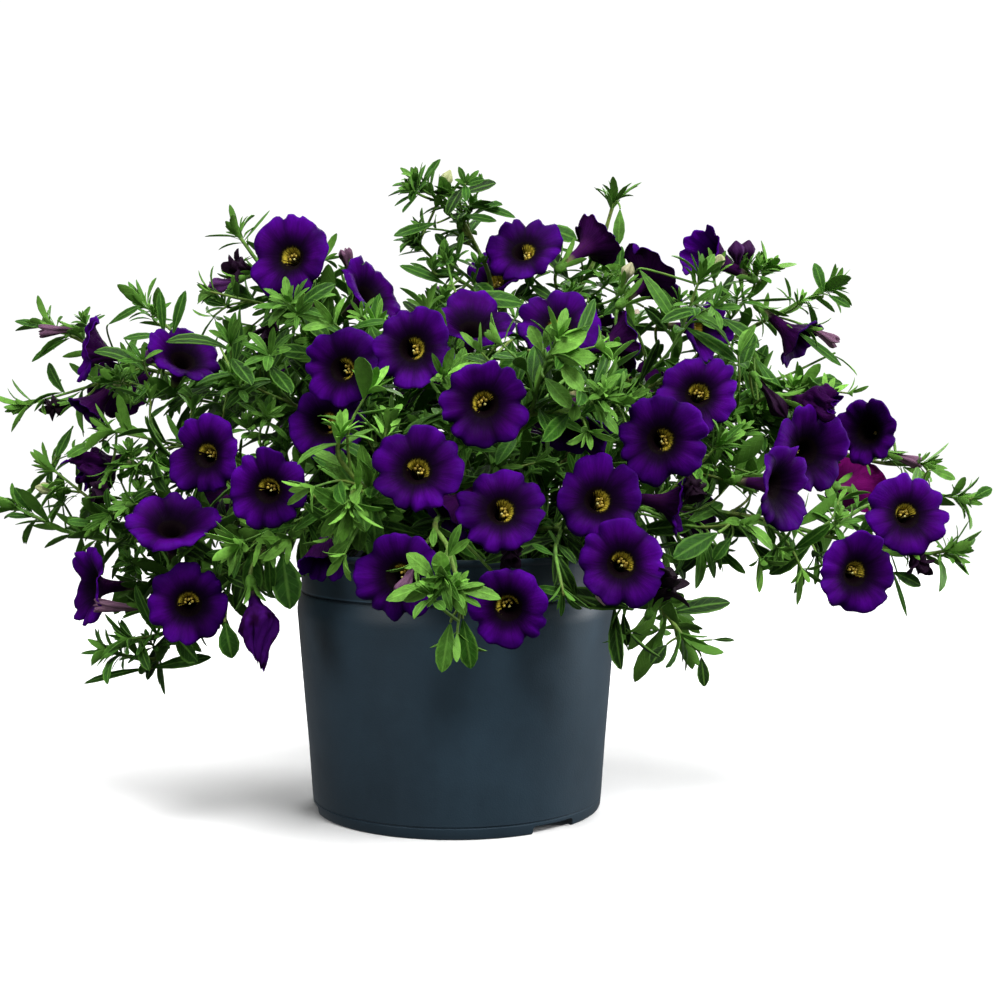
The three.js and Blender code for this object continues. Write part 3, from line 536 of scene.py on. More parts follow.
class CALIBRACHOA_PG_colours(bpy.types.PropertyGroup):
    """The colours of the plant and its pot."""

    def shade(name, description, default):
        return bpy.props.FloatVectorProperty(
            name=name, description=description, subtype="COLOR", size=3, min=0, max=1,
            default=default,
        )

    petal: shade("Petal", "Face of the petals, away from the throat", (0.069, 0.0009, 0.218))
    petal_tint: shade("Petal tint", "Warmer tint that clouds the petals", (0.03, 0.0003, 0.07))
    ring: shade("Dark ring", "Ring on the petals around the throat", (0.003, 0.0004, 0.005))
    throat: shade("Throat", "Inside of the flower's tube", (0.6, 0.47, 0.045))
    petal_back: shade("Petal back", "Back of the petals", (0.024, 0.0014, 0.04))
    tube: shade("Tube", "Outside of the flower's tube", (0.03, 0.006, 0.026))
    # This dark colour is both the old leaves' own colour and painted shade for the leaves deep inside the
    # mound.
    old_and_shaded_leaf: shade("Old leaf", "Leaves deep in the mound", (0.006, 0.023, 0.0016))
    leaf: shade("Leaf", "Full-grown leaves", (0.022, 0.087, 0.0068))
    young_leaf: shade("Young leaf", "Leaves at the tips", (0.112, 0.262, 0.036))
    stem: shade("Stem", "Stems and flower stalks", (0.1, 0.23, 0.03))
    pot: shade("Pot", "Moulded plastic of the pot", (0.026, 0.049, 0.071))
    peat: shade("Peat", "Damp peat in the pot", (0.022, 0.013, 0.008))


class CALIBRACHOA_PG_sizes(bpy.types.PropertyGroup):
    """The sizes of the leaves and petals."""

    def length(name, description, default):
        return bpy.props.FloatProperty(
            name=name, description=description, subtype="DISTANCE", unit="LENGTH",
            min=0.0001, default=default,
        )

    leaf_longest: length("Longest leaf", "Length of a leaf low on its stem", 0.027)
    leaf_shortest: length("Shortest leaf", "Length of a leaf at the tip", 0.0135)
    leaf_spacing: length("Leaf spacing", "Distance from leaf to leaf along a stem", 0.0076)
    petal_thickness: length("Petal thickness", "Thickness of the petals", 0.00028)
    slimness: bpy.props.FloatProperty(
        name="Slimness", description="Width of a leaf as a share of its length",
        subtype="FACTOR", min=0.05, max=1, default=0.26,
    )
    side_leaves: bpy.props.IntProperty(
        name="Tuft leaves", description="Leaves in the tuft that stands in a leaf's axil",
        min=0, max=8, default=2,
    )
    rosette: bpy.props.IntProperty(
        name="Rosette leaves", description="Leaves in the rosette at a stem's tip",
        min=3, max=24, default=18,
    )


# -------- lines and places


def unit(vector):
    return vector / np.linalg.norm(vector)


def chance(seed):
    """A repeatable number from 0 to 1 for each seed."""
    value = math.sin(seed * 12.9898) * 43758.5453
    return value - math.floor(value)


def about(middle, spread, seed):
    """A repeatable number from half the spread under the middle to half the spread over it."""
    return middle + spread * (chance(seed) - 0.5)


def between(first, second, angle):
    """The line that lies an angle from the first line towards the second, which is square to it."""
    return first * math.cos(angle) + second * math.sin(angle)


def squares_of(axis):
    """Two lines that are square to an axis and to each other."""
    side = unit(np.cross(axis, UP if abs(axis[2]) < 0.9 else (1.0, 0.0, 0.0)))
    return side, np.cross(axis, side)


def aimed(points, axis):
    """Points turned so that their Z runs along the axis."""
    aim = Vector((0, 0, 1)).rotation_difference(Vector(axis)).to_matrix()
    return points @ np.array(aim).T


class Line:
    """A smooth line through its points, measured along its length."""

    def __init__(self, points, is_main=False):
        held = np.array(points, float)
        held = np.vstack([2 * held[0] - held[1], held, 2 * held[-1] - held[-2]])
        part = np.linspace(0, 1, 40, endpoint=False)[:, None]
        rows = []
        for a, b, c, d in zip(held, held[1:], held[2:], held[3:]):
            leave, arrive = (c - a) / 2, (d - b) / 2
            rows.append(
                b + leave * part + (3 * (c - b) - 2 * leave - arrive) * part**2
                + (2 * (b - c) + leave + arrive) * part**3
            )
        self.points = np.vstack([*rows, held[-2][None]])
        steps = np.linalg.norm(np.diff(self.points, axis=0), axis=1)
        self.run = np.concatenate([[0], np.cumsum(steps)])
        self.length = float(self.run[-1])
        self.is_main = is_main

    def at(self, share):
        reached = share * self.length
        return np.array([np.interp(reached, self.run, self.points[:, k]) for k in range(3)])

    def along(self, share):
        return unit(self.at(min(1, share + 0.01)) - self.at(max(0, share - 0.01)))


class Flower:
    """Where a flower stands and how it is turned."""

    def __init__(self, row):
        x, y, z, yaw, pitch, self.width, *form = row
        yaw, pitch = math.radians(yaw), math.radians(pitch)
        level = math.cos(pitch)
        self.form = form[0] if form else "open"
        self.axis = np.array((math.sin(yaw) * level, -math.cos(yaw) * level, math.sin(pitch)))
        self.throat = np.array((x, y, z), float)
        self.seed = self.throat.sum()
        self.is_shut = self.form in SHUT_FORMS
        self.rise, self.spread, self.flare = FORMS[self.form]
        self.edge = self.width / 2 * self.spread
        self.tube = SHUT_TUBE_LENGTH if self.is_shut else TUBE_LENGTH
        self.foot = self.throat - self.tube * self.axis
        self.tone = FORM_TONES.get(self.form, DRAWN_TONE * chance(self.seed))
        side = unit(np.cross(UP, self.axis))
        level_turn = np.column_stack([side, np.cross(self.axis, side), self.axis])
        roll = Quaternion((0, 0, 1), about(0, ROLL_SPREAD, self.seed))
        self.turn = level_turn @ np.array(roll.to_matrix())

    def place(self, points):
        """Points of the flower's own frame, moved to where it stands."""
        return points @ self.turn.T + self.throat


class Bud:
    """Where a bud or a spent flower stands, which way it points, its length and its age."""

    def __init__(self, row):
        *place, along_x, along_y, along_z, self.length, self.age = row
        self.middle = np.array(place, float)
        self.axis = unit(np.array((along_x, along_y, along_z), float))
        self.seed = self.middle[0] + self.middle[2]

    def back(self, short):
        """The place on the axis that is short of half a length behind the middle."""
        return self.middle - self.axis * (self.length / 2 - short)


class BroadLeaf:
    """A leaf that stands free of the mound, from its base to its tip."""

    def __init__(self, row):
        self.base = np.array(row[:3], float)
        self.tip = np.array(row[3:6], float)
        self.width, self.tone = row[6:]
        self.length = np.linalg.norm(self.tip - self.base)
        self.direction = (self.tip - self.base) / self.length


class Tuft:
    """A tuft of young leaves: its middle, the way it points and the length of its leaves."""

    def __init__(self, row):
        self.middle = np.array(row[:3], float)
        self.axis = unit(np.array(row[3:6], float))
        self.reach = row[6]


class Shoot:
    """One branching shoot, with its main stem first."""

    def __init__(self, name, number):
        grown = SHOOTS[name]
        x, y, _ = grown["stem"][0]
        main = Line([(x, y, ROOT_HEIGHT), *grown["stem"]], is_main=True)
        flowers = grown["flowers"] + LATER_FLOWERS.get(name, [])
        self.name, self.number = name, number
        self.node = f"shoot_{name}"
        self.stems = [main] + [Line(points) for points in grown["sides"]]
        self.flowers = [Flower(row) for row in flowers]
        self.framed_flowers = len(grown["flowers"])
        self.buds = [Bud(row) for row in BUDS.get(name, [])]
        self.broad_leaves = [BroadLeaf(row) for row in BROAD_LEAVES.get(name, [])]
        self.tufts = [Tuft(row) for row in TUFTS.get(name, [])]
        self.age_and_shade = LEAF_AGE_AND_SHADE.get(name, 0.0)
        self.kept_share = SPARSE.get(name, 1.0)
        self.size_share = SMALL_LEAVED.get(name, 1.0)
        self.twigs = None

    def is_bare(self, number):
        """Whether the stem of that number hangs nearly bare."""
        return (self.name, number) in BARE_STEMS


PLAN = [Shoot(name, number) for number, name in enumerate(SHOOTS)]


def stalk_to(end, axis, reach, stems):
    """A stalk from the stems' nearest place that comes in to its end along the axis."""
    behind = end - reach * axis
    spots = np.array([stem.at(s) for stem in stems for s in np.arange(0.2, 1.001, 0.02)])
    start = spots[np.linalg.norm(spots - behind, axis=1).argmin()]
    middle = (behind + end) / 2
    t = np.linspace(0, 1, STALK_POINTS)[:, None]
    return (1 - t) ** 2 * start + 2 * t * (1 - t) * middle + t**2 * end


def stalks_of(shoot):
    """Points, first radius and last radius of the stalk of each flower, leaf, tuft and bud."""
    stems = shoot.stems
    for flower in shoot.flowers:
        end = flower.foot - flower.axis * (CALYX_GAP + CALYX_LENGTH * 0.6)
        yield stalk_to(end, flower.axis, PEDICEL_REACH, stems), 0.55, 0.75
    for leaf in shoot.broad_leaves:
        last = max(0.3, 0.08 * leaf.width)
        yield stalk_to(leaf.base, leaf.direction, LEAF_STALK_REACH, stems), 0.5, last
    for tuft in shoot.tufts:
        end = tuft.middle - 0.5 * tuft.axis
        yield stalk_to(end, tuft.axis, TUFT_STALK_REACH, stems), 0.6, 0.45
    for bud in shoot.buds:
        yield stalk_to(bud.back(-2), bud.axis, BUD_STALK_REACH, stems), 0.5, 0.6


# -------- modelling by hand


def clear_selection():
    if bpy.context.object and bpy.context.object.mode != "OBJECT":
        bpy.ops.object.mode_set(mode="OBJECT")
    bpy.ops.object.select_all(action="DESELECT")


def work_on(obj):
    """Selects one object alone, and makes it the active one."""
    clear_selection()
    obj.select_set(True)
    bpy.context.view_layer.objects.active = obj


def edit_whole():
    bpy.ops.object.mode_set(mode="EDIT")
    bpy.ops.mesh.select_all(action="SELECT")


def points_of(mesh):
    found = np.empty(3 * len(mesh.vertices), np.float32)
    mesh.vertices.foreach_get("co", found)
    return found.reshape(-1, 3).astype(float)


def pick(obj, chosen):
    """Goes to edit mode with only the points selected whose place passes the test."""
    bpy.ops.object.mode_set(mode="EDIT")
    bpy.ops.mesh.select_mode(type="VERT")
    bpy.ops.mesh.select_all(action="DESELECT")
    bpy.ops.object.mode_set(mode="OBJECT")
    places = points_of(obj.data) / MM
    obj.data.vertices.foreach_set("select", np.array(chosen(*places.T), bool))
    bpy.ops.object.mode_set(mode="EDIT")


def apply_place():
    bpy.ops.object.transform_apply(location=True, rotation=True, scale=True)


def grow_rings(profile):
    """Extrudes the selected open ring through the rest of a profile of (radius, height)."""
    for (radius, height), (wider, higher) in zip(profile, profile[1:]):
        bpy.ops.mesh.extrude_edges_move(
            TRANSFORM_OT_translate={"value": (0, 0, (higher - height) * MM)}
        )
        share = wider / radius
        bpy.ops.transform.resize(value=(share, share, 1), center_override=(0, 0, higher * MM))


def turned_ring(name, profile, segments):
    """A ring of points at the profile's start, extruded and widened along the profile."""
    clear_selection()
    radius, height = profile[0]
    bpy.ops.mesh.primitive_circle_add(
        vertices=segments, radius=radius * MM, fill_type="NOTHING", location=(0, 0, height * MM)
    )
    obj = bpy.context.object
    obj.name = obj.data.name = name
    apply_place()
    edit_whole()
    grow_rings(profile)
    return obj


def outward():
    """Merges doubles and turns every face outward, in edit mode, and goes back to object mode."""
    bpy.ops.mesh.select_all(action="SELECT")
    bpy.ops.mesh.remove_doubles(threshold=1e-6)
    bpy.ops.mesh.normals_make_consistent(inside=False)
    bpy.ops.object.mode_set(mode="OBJECT")


def cut_away(obj, cutters):
    """Cuts the cutters out of an object, and removes them."""
    for cutter in cutters:
        work_on(obj)
        cut = obj.modifiers.new("cut", "BOOLEAN")
        cut.operation, cut.solver, cut.object = "DIFFERENCE", "EXACT", cutter
        bpy.ops.object.modifier_apply(modifier=cut.name)
        bpy.data.objects.remove(cutter)


def smooth(obj, angle):
    """Shades a piece smooth, but for the edges that turn by more than an angle in degrees."""
    work_on(obj)
    bpy.ops.object.shade_smooth_by_angle(angle=math.radians(angle))


def finish_piece(obj, materials, slot, *nodes):
    """Gives a piece its materials, its body and the frame nodes that it replaces. The slot is not used."""
    obj.data.materials.clear()
    for name in materials.split():
        obj.data.materials.append(material(name))
    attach(obj, "root")
    if nodes:
        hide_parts(*nodes)


# -------- many copies in one mesh


class Template:
    """A modelled shape, kept as arrays so that copies of it can be shaped and joined."""

    def __init__(self, obj, map_of):
        mesh = obj.data
        self.points = points_of(mesh)
        count = len(mesh.loops)
        self.corners = np.empty(count, np.int32)
        mesh.loops.foreach_get("vertex_index", self.corners)
        self.totals = np.empty(len(mesh.polygons), np.int32)
        mesh.polygons.foreach_get("loop_total", self.totals)
        at = np.array(map_of(self.points))
        self.map = at[self.corners]
        self.close_seam()
        bpy.data.objects.remove(obj)
        bpy.data.meshes.remove(mesh)

    def close_seam(self):
        """Keeps a face that crosses the map's seam from running back over the whole map."""
        start = 0
        for total in self.totals:
            face = self.map[start : start + total, 0]
            if face.max() - face.min() > 0.5:
                face[face < 0.5] += 1
            start += total


def assemble(name, copies):
    """One mesh of many copies: each is (template, its points in millimetres, its tone)."""
    templates, places, tones = zip(*copies)
    counts = [len(points) for points in places]
    bases = np.cumsum([0, *counts[:-1]])
    points = np.vstack(places) * MM
    corners = np.concatenate([shape.corners + base for shape, base in zip(templates, bases)])
    totals = np.concatenate([shape.totals for shape in templates])
    maps = np.vstack([shape.map for shape in templates])
    mesh = bpy.data.meshes.new(name)
    mesh.vertices.add(len(points))
    mesh.vertices.foreach_set("co", points.astype(np.float32).ravel())
    mesh.loops.add(len(corners))
    mesh.loops.foreach_set("vertex_index", corners.astype(np.int32))
    mesh.polygons.add(len(totals))
    starts = np.cumsum([0, *totals[:-1]]).astype(np.int32)
    mesh.polygons.foreach_set("loop_start", starts)
    mesh.polygons.foreach_set("use_smooth", np.ones(len(totals), bool))
    mesh.uv_layers.new(name="lay").data.foreach_set("uv", maps.astype(np.float32).ravel())
    held_tones = mesh.attributes.new("tone", "FLOAT", "POINT")
    held_tones.data.foreach_set("value", np.repeat(tones, counts).astype(np.float32))
    mesh.update(calc_edges=True)
    mesh.validate()
    obj = bpy.data.objects.new(name, mesh)
    bpy.context.scene.collection.objects.link(obj)
    return obj


# -------- templates

LEAF_RINGS = 7
LEAF_SEGMENTS = 6
LEAF_THICKNESS = 0.028
# The blade's width at each ring between its base and its tip.
LEAF_WIDTHS = (0.16, 0.45, 0.85, 1.0, 0.8, 0.34)
LEAF_END_WIDTH = 0.1


def model_leaf():
    """A blade one unit long and wide: a squashed ball with its poles at base and tip."""
    clear_selection()
    bpy.ops.mesh.primitive_uv_sphere_add(
        segments=LEAF_SEGMENTS, ring_count=LEAF_RINGS, radius=0.5 * MM,
        rotation=(math.pi / 2, 0, 0),
    )
    obj = bpy.context.object
    apply_place()
    for k, width in enumerate(LEAF_WIDTHS):
        angle = math.pi * (k + 1) / LEAF_RINGS
        y = -0.5 * math.cos(angle)
        pick(obj, lambda px, py, pz: abs(py - y) < 0.01)
        share = width / (math.sin(angle) * math.cos(math.pi / LEAF_SEGMENTS))
        bpy.ops.transform.resize(value=(share, 1, 1), center_override=(0, 0, 0))
        bpy.ops.transform.resize(value=(1, 1, LEAF_THICKNESS), center_override=(0, 0, 0))
    outward()
    clear_selection()
    obj.select_set(True)
    bpy.ops.transform.translate(value=(0, 0.5 * MM, 0))
    apply_place()

    def lay(points):
        x, y = points[:, 0] / MM, points[:, 1] / MM
        rows = -0.5 * np.cos(np.pi * np.arange(LEAF_RINGS + 1) / LEAF_RINGS) + 0.5
        wide = np.interp(y, rows, (LEAF_END_WIDTH, *LEAF_WIDTHS, LEAF_END_WIDTH))
        return np.stack([0.5 + x / wide, y], axis=1)

    return Template(obj, lay)


def share_around(points):
    """Each point's place around Z, from 0 to 1."""
    return np.arctan2(points[:, 1], points[:, 0]) / (2 * np.pi) % 1


def model_ball(segments, rings):
    """A ball one unit across with its poles on Z, for anthers, cups and buds."""
    clear_selection()
    bpy.ops.mesh.primitive_uv_sphere_add(segments=segments, ring_count=rings, radius=0.5 * MM)
    obj = bpy.context.object
    apply_place()

    def lay(points):
        return np.stack([share_around(points), points[:, 2] / MM + 0.5], axis=1)

    return Template(obj, lay)


def model_corolla():
    """The open flower, drawn out ring by ring from the foot of its tube to its edge."""
    profile = [(radius, height) for _, radius, height in COROLLA_RINGS]
    obj = turned_ring("corolla_template", profile, COROLLA_SEGMENTS)
    pick(obj, lambda x, y, z: np.hypot(x, y) < 0.7)
    bpy.ops.mesh.edge_face_add()
    bpy.ops.mesh.select_all(action="SELECT")
    bpy.ops.mesh.normals_make_consistent(inside=False)
    bpy.ops.object.mode_set(mode="OBJECT")
    limb = [face for face in obj.data.polygons if math.hypot(*face.center[:2]) > 12 * MM]
    if sum(face.normal.z for face in limb) < 0:
        edit_whole()
        bpy.ops.mesh.flip_normals()
        bpy.ops.object.mode_set(mode="OBJECT")

    def lay(points):
        rings = np.array(COROLLA_RINGS)
        apart = np.hypot(
            np.hypot(points[:, 0], points[:, 1])[:, None] / MM - rings[:, 1],
            points[:, 2][:, None] / MM - rings[:, 2],
        )
        return np.stack([share_around(points), rings[apart.argmin(1), 0]], axis=1)

    corolla = Template(obj, lay)
    corolla.around, corolla.reach = lay(corolla.points).T
    return corolla


TEMPLATES = {}


def template(name):
    """The template of that name, modelled when it is first asked for."""
    if name not in TEMPLATES:
        makers = {
            "leaf": model_leaf, "corolla": model_corolla, "bud": lambda: model_ball(30, 13),
            "cup": lambda: model_ball(10, 6), "grain": lambda: model_ball(6, 4),
        }
        TEMPLATES[name] = makers[name]()
        TEMPLATES[name].points = TEMPLATES[name].points / MM
    return TEMPLATES[name]


# -------- shaping one copy


def shaped_leaf(base, direction, across, length, width, bend=0.5, fold=0.25, twist=0.0):
    """A leaf blade from its base: it arches back by bend, and folds up along its midrib."""
    x, y, z = (column[:, None] for column in template("leaf").points.T)
    up = np.cross(direction, across)
    bend = bend if abs(bend) > 1e-3 else 1e-3
    turned = bend * y
    middle = base + length / bend * (np.sin(turned) * direction - (1 - np.cos(turned)) * up)
    normal = np.sin(turned) * direction + np.cos(turned) * up
    roll = twist * y
    side = np.cos(roll) * across + np.sin(roll) * normal
    lift = np.cos(roll) * normal - np.sin(roll) * across
    return middle + side * x * width + lift * (z * length + fold * np.abs(x) * width)


def shaped_ball(name, middle, axis, width, length):
    """A ball drawn out along an axis."""
    return aimed(template(name).points * (width, width, length), axis) + middle


def ridge(apart, width):
    """One on a line and nought away from it."""
    return np.exp(-((apart / width) ** 2))


class Lobes:
    """Where each point of a corolla lies among its five lobes, with the flower's own draws."""

    def __init__(self, flower):
        shape = template("corolla")
        self.rings = shape.points
        self.drawn = np.hypot(shape.points[:, 0], shape.points[:, 1])
        self.angle = 2 * np.pi * shape.around
        self.limb = np.clip((shape.reach - THROAT) / (1 - THROAT), 0, 1)
        draw = np.array([chance(3.7 * flower.seed + k) for k in range(32)])
        self.swing = 2 * np.pi * draw
        uneven = 0.16 * self.side_wave(2, 21) + 0.1 * self.side_wave(3, 22)
        lobed = self.angle + self.swing[30] + uneven
        fifth = 2 * np.pi / 5
        self.from_middle = (lobed + fifth / 2) % fifth - fifth / 2
        self.from_seam = fifth / 2 - np.abs(self.from_middle)
        self.swell = np.cos(2.5 * self.from_middle)
        lobe = np.floor(lobed / fifth + 0.5).astype(int) % 5
        seam = np.floor(lobed / fifth).astype(int) % 5
        self.length_draw, self.notch_draw = draw[lobe], draw[10 + lobe]
        self.seam_draw, self.lift_draw = draw[5 + seam], draw[15 + lobe]
        self.tilt_draw, self.light_draw = draw[20], draw[27 - lobe]

    def wave(self, crests, number):
        """A wave around the flower, set off by the draw of that number."""
        return np.cos(crests * self.angle + self.swing[number])

    def side_wave(self, crests, number):
        """The same wave, a quarter of a crest further on."""
        return np.sin(crests * self.angle + self.swing[number])


def outline_of(lobes, edge):
    """How far the edge reaches: lobes that are parted at their seams and notched in the middle."""
    reach = (
        1.03 + 0.16 * (lobes.length_draw - 0.45) * lobes.swell
        - (0.07 + 0.13 * lobes.seam_draw) * ridge(lobes.from_seam, 0.11)
        - (0.01 + 0.09 * lobes.notch_draw) * ridge(lobes.from_middle, 0.11)
    )
    for crests, height, number in EDGE_WAVES:
        reach = reach + height * lobes.wave(crests, number)
    return edge * reach


def relief_of(lobes):
    """How far the limb stands up: its seams and folds sink, its lobes lift and its edge curls."""
    limb = lobes.limb
    seams = (0.8 + 1.1 * lobes.seam_draw) * limb**1.3 * ridge(lobes.from_seam, 0.17)
    folds = (0.3 + 0.7 * lobes.notch_draw) * limb**1.4 * ridge(lobes.from_middle, 0.11)
    lifted = (0.9 + 4.4 * (lobes.lift_draw - 0.5)) * limb**2 * lobes.swell
    tilt = 3.4 * (lobes.tilt_draw - 0.5) * limb**2 * lobes.wave(1, 26)
    ruffle = 0.4 * limb**3 * lobes.wave(13, 27)
    frill = 0.16 * limb**4 * lobes.wave(23, 28)
    curl = 1.5 * limb**6 * (1 + 0.7 * lobes.wave(3, 29))
    return -seams - folds + lifted + tilt + ruffle + frill - curl


def shaped_corolla(flower):
    """The corolla's points in the flower's own frame, with its lobes, folds and ruffled edge, and
    how light each point is: painted shade in the creases and a drawn darkening for each lobe, times the
    form's own lightness."""
    lobes = Lobes(flower)
    limb, edge = lobes.limb, flower.edge
    # Painted shade: the creases along the seams and down the middle of each lobe are darkened, and each
    # lobe by a drawn share, more towards the edge.
    crease = (
        0.42 * ridge(lobes.from_seam, 0.17) + 0.24 * ridge(lobes.from_seam, 0.05)
        + 0.26 * ridge(lobes.from_middle, 0.08)
    )
    shade = 1 - limb * (crease + 0.4 * lobes.light_draw)
    shade = shade * FORM_LIGHTS.get(flower.form, 1.0)
    if flower.is_shut:
        return crumpled(flower, lobes), shade
    out = np.clip((lobes.drawn - THROAT_RADIUS) / (EDGE_RADIUS - THROAT_RADIUS), 0, 1)
    reach = THROAT_RADIUS + (outline_of(lobes, edge) - THROAT_RADIUS) * out
    radius = np.where(limb > 0, reach, lobes.drawn)
    flared = (flower.rise * edge - THROAT_HEIGHT) * (1 - (1 - limb) ** flower.flare)
    height = np.where(limb > 0, THROAT_HEIGHT + flared, lobes.rings[:, 2])
    height = height + edge / EDGE_RADIUS * relief_of(lobes)
    points = np.stack([radius * np.cos(lobes.angle), radius * np.sin(lobes.angle), height], axis=1)
    return points, shade


def crumpled(flower, lobes):
    """The points of a flower whose lobes have fallen together, pleated and hanging to one side."""
    angle, limb, swing, edge = lobes.angle, lobes.limb, lobes.swing, flower.edge
    length = flower.rise * edge
    opened = np.sin(np.pi / 2 * np.clip(limb / WIDEST, 0, 1))
    shut = SHUT_FORMS[flower.form] * edge * np.clip((limb - WIDEST) / (1 - WIDEST), 0, 1)
    pleats = (
        0.3 * lobes.wave(5, 24) + 0.24 * np.cos(2 * angle + 6 * limb + swing[25])
        + 0.16 * np.cos(8 * angle - 9 * limb + swing[23])
        + 0.08 * np.cos(13 * angle + 11 * limb + swing[27])
    )
    drawn_in = THROAT_RADIUS + (edge - THROAT_RADIUS) * opened - shut
    radius = np.where(limb > 0, drawn_in * (1 + limb**0.5 * pleats), lobes.drawn)
    ragged = limb**3 * (7.0 * (lobes.length_draw - 0.4) * lobes.swell + 1.2 * lobes.wave(9, 28))
    short = flower.tube / TUBE_LENGTH
    hung = THROAT_HEIGHT * short + (length - THROAT_HEIGHT) * limb + ragged
    height = np.where(limb > 0, hung, short * lobes.rings[:, 2])
    turned = angle + 0.9 * limb
    hang = 3.0 * limb**2
    x = radius * np.cos(turned) + hang * np.cos(swing[29])
    y = radius * np.sin(turned) + hang * np.sin(swing[29])
    return np.stack([x, y, height], axis=1)


def bud_points(middle, length, bud):
    """Folded petals: a club that is pleated and twisted, and crumpled once it is spent."""
    x, y, z = template("bud").points.T
    along = z + 0.5
    around = np.arctan2(y, x)
    from_axis = np.hypot(x, y) * 2
    is_spent = bud.age > SPENT_AGE
    club = 0.55 + 0.75 * ridge(along - 0.68, 0.24)
    width = 1.5 + 1.3 * min(1.0, bud.age + 0.25)
    pleat = 1 + 0.16 * np.cos(5 * around + 3.0 * along) + 0.05 * np.cos(10 * around)
    crumple = 0.0
    if is_spent:
        seed = bud.seed
        crumple = 0.34 * np.cos(7 * around + 9 * along + seed) * np.sin(8 * along + seed)
        club = 0.5 + 0.9 * ridge(along - 0.75, 0.22)
    if FADED[0] < bud.age < FADED[1]:
        club, from_axis = 0.45 + 1.1 * along**2, from_axis**0.4
        ragged = 0.09 * along**4 * np.cos(5 * around + bud.seed)
        z = z + ragged - 0.12 * along**8 * (1 - from_axis)
    radius = from_axis * width * club * (pleat + crumple)
    angle = around + 1.3 * along
    droop = 1.4 * along**2 * (1 if is_spent else 0.3)
    own = np.stack([radius * np.cos(angle) + droop, radius * np.sin(angle), z * length], axis=1)
    return aimed(own, bud.axis) + middle


def withered_lobes(middle, bud):
    """The dry, curled lobes of a spent flower."""
    side, other = squares_of(bud.axis)
    seed = bud.seed
    parts = []
    for k in range(DRY_LOBES):
        out = between(side, other, 2 * np.pi * k / DRY_LOBES + seed)
        direction = between(bud.axis, out, 0.15 + 0.8 * chance(seed + k))
        across = unit(np.cross(bud.axis, out))
        reach = bud.length * (0.45 + 0.25 * chance(seed + 2 * k))
        bend = 1.6 * (chance(seed + 3 * k) - 0.4)
        twist = about(0, 1, seed - k)
        blade = shaped_leaf(middle, direction, across, reach, DRY_LOBE_WIDTH, bend, 0.5, twist)
        parts.append((template("leaf"), blade, bud.age))
    return parts


def bud_parts(bud):
    """A bud, or a dry flower with its club drawn back among its lobes."""
    if bud.age < DRY_AGE:
        return [(template("bud"), bud_points(bud.middle, bud.length, bud), bud.age)]
    middle = bud.middle - 0.2 * bud.length * bud.axis
    club = bud_points(middle, 0.6 * bud.length, bud)
    return [*withered_lobes(middle, bud), (template("bud"), club, bud.age)]


def calyx_parts(foot, axis, seed, size=1.0, spread=0.22, tone=0.72):
    """A cup and five narrow sepals around the foot of a flower or bud."""
    cup = shaped_ball("cup", foot - axis * 3.2 * size, axis, 4.3 * size, 7.2 * size)
    parts = [(template("cup"), cup, tone)]
    side, other = squares_of(axis)
    for k in range(5):
        out = between(side, other, 2 * np.pi * k / 5 + seed)
        direction = unit(between(axis, out, spread + 0.25 * (chance(seed + k) - 0.3)))
        across = unit(np.cross(axis, out))
        base = foot - axis * 4.2 * size + out * 1.3 * size
        length = size * (11 + 3 * chance(seed + k + 0.3))
        bend = 0.2 + 0.7 * chance(seed + k + 0.6)
        blade = shaped_leaf(base, direction, across, length, 2.5 * size, bend, 0.2)
        parts.append((template("leaf"), blade, about(tone, 0.2, seed + k)))
    return parts


def stamen_parts(flower):
    """Five anthers on their threads and a stigma on its style, sunk and drawn in where hidden."""
    is_hidden = flower.tone > HIDDEN_TONE
    sunk = np.array((0, 0, HIDDEN_DEPTH if is_hidden else 0.0))
    close = 0.3 if is_hidden else 1.0
    grains = []
    for k in range(5):
        around = 0.6 + 1.5 * flower.tone + 0.62 * (k - 2)
        outward_x, outward_y = math.cos(around), math.sin(around)
        out = close * (1.25 + 0.6 * (k % 2) + 0.3 * chance(flower.seed + k))
        tip = np.array((out * outward_x, out * outward_y, ANTHER_HEIGHT))
        foot = np.array((0.6 * outward_x, 0.6 * outward_y, THREAD_FOOT))
        thread = tip - foot
        grains.append(((tip + foot) / 2, unit(thread), 0.35, np.linalg.norm(thread), 0.6))
        grains.append((tip, unit(ANTHER_LEAN), 0.45 + 0.8 * close, 1.6, 0.0))
    grains.append((np.array((0.3, -0.3, -3.0)), UP, 1.0, 0.9, 1.0))
    grains.append((np.array((0.1, -0.4, -7.0)), UP, 0.5, 11.0, 0.8))
    parts = []
    for middle, axis, width, length, tone in grains:
        grain = shaped_ball("grain", middle, axis, width, length) - sunk
        parts.append((template("grain"), flower.place(grain), tone))
    return parts


# -------- where leaves stand


def stand(stem, share, turn, lean):
    """Base, direction and crossways line of a leaf that leans out from its stem."""
    along = stem.along(share)
    side = unit(np.cross(along, UP))
    out = between(side, np.cross(side, along), turn)
    direction = between(along, out, lean)
    return stem.at(share), direction, unit(np.cross(along, direction))


def to_the_light(direction, across, share):
    """The crossways line rolled so that the blade's upper face looks more upward."""
    up = np.cross(direction, across) + share * UP
    up = unit(up - direction * (up @ direction))
    return unit(np.cross(up, direction))


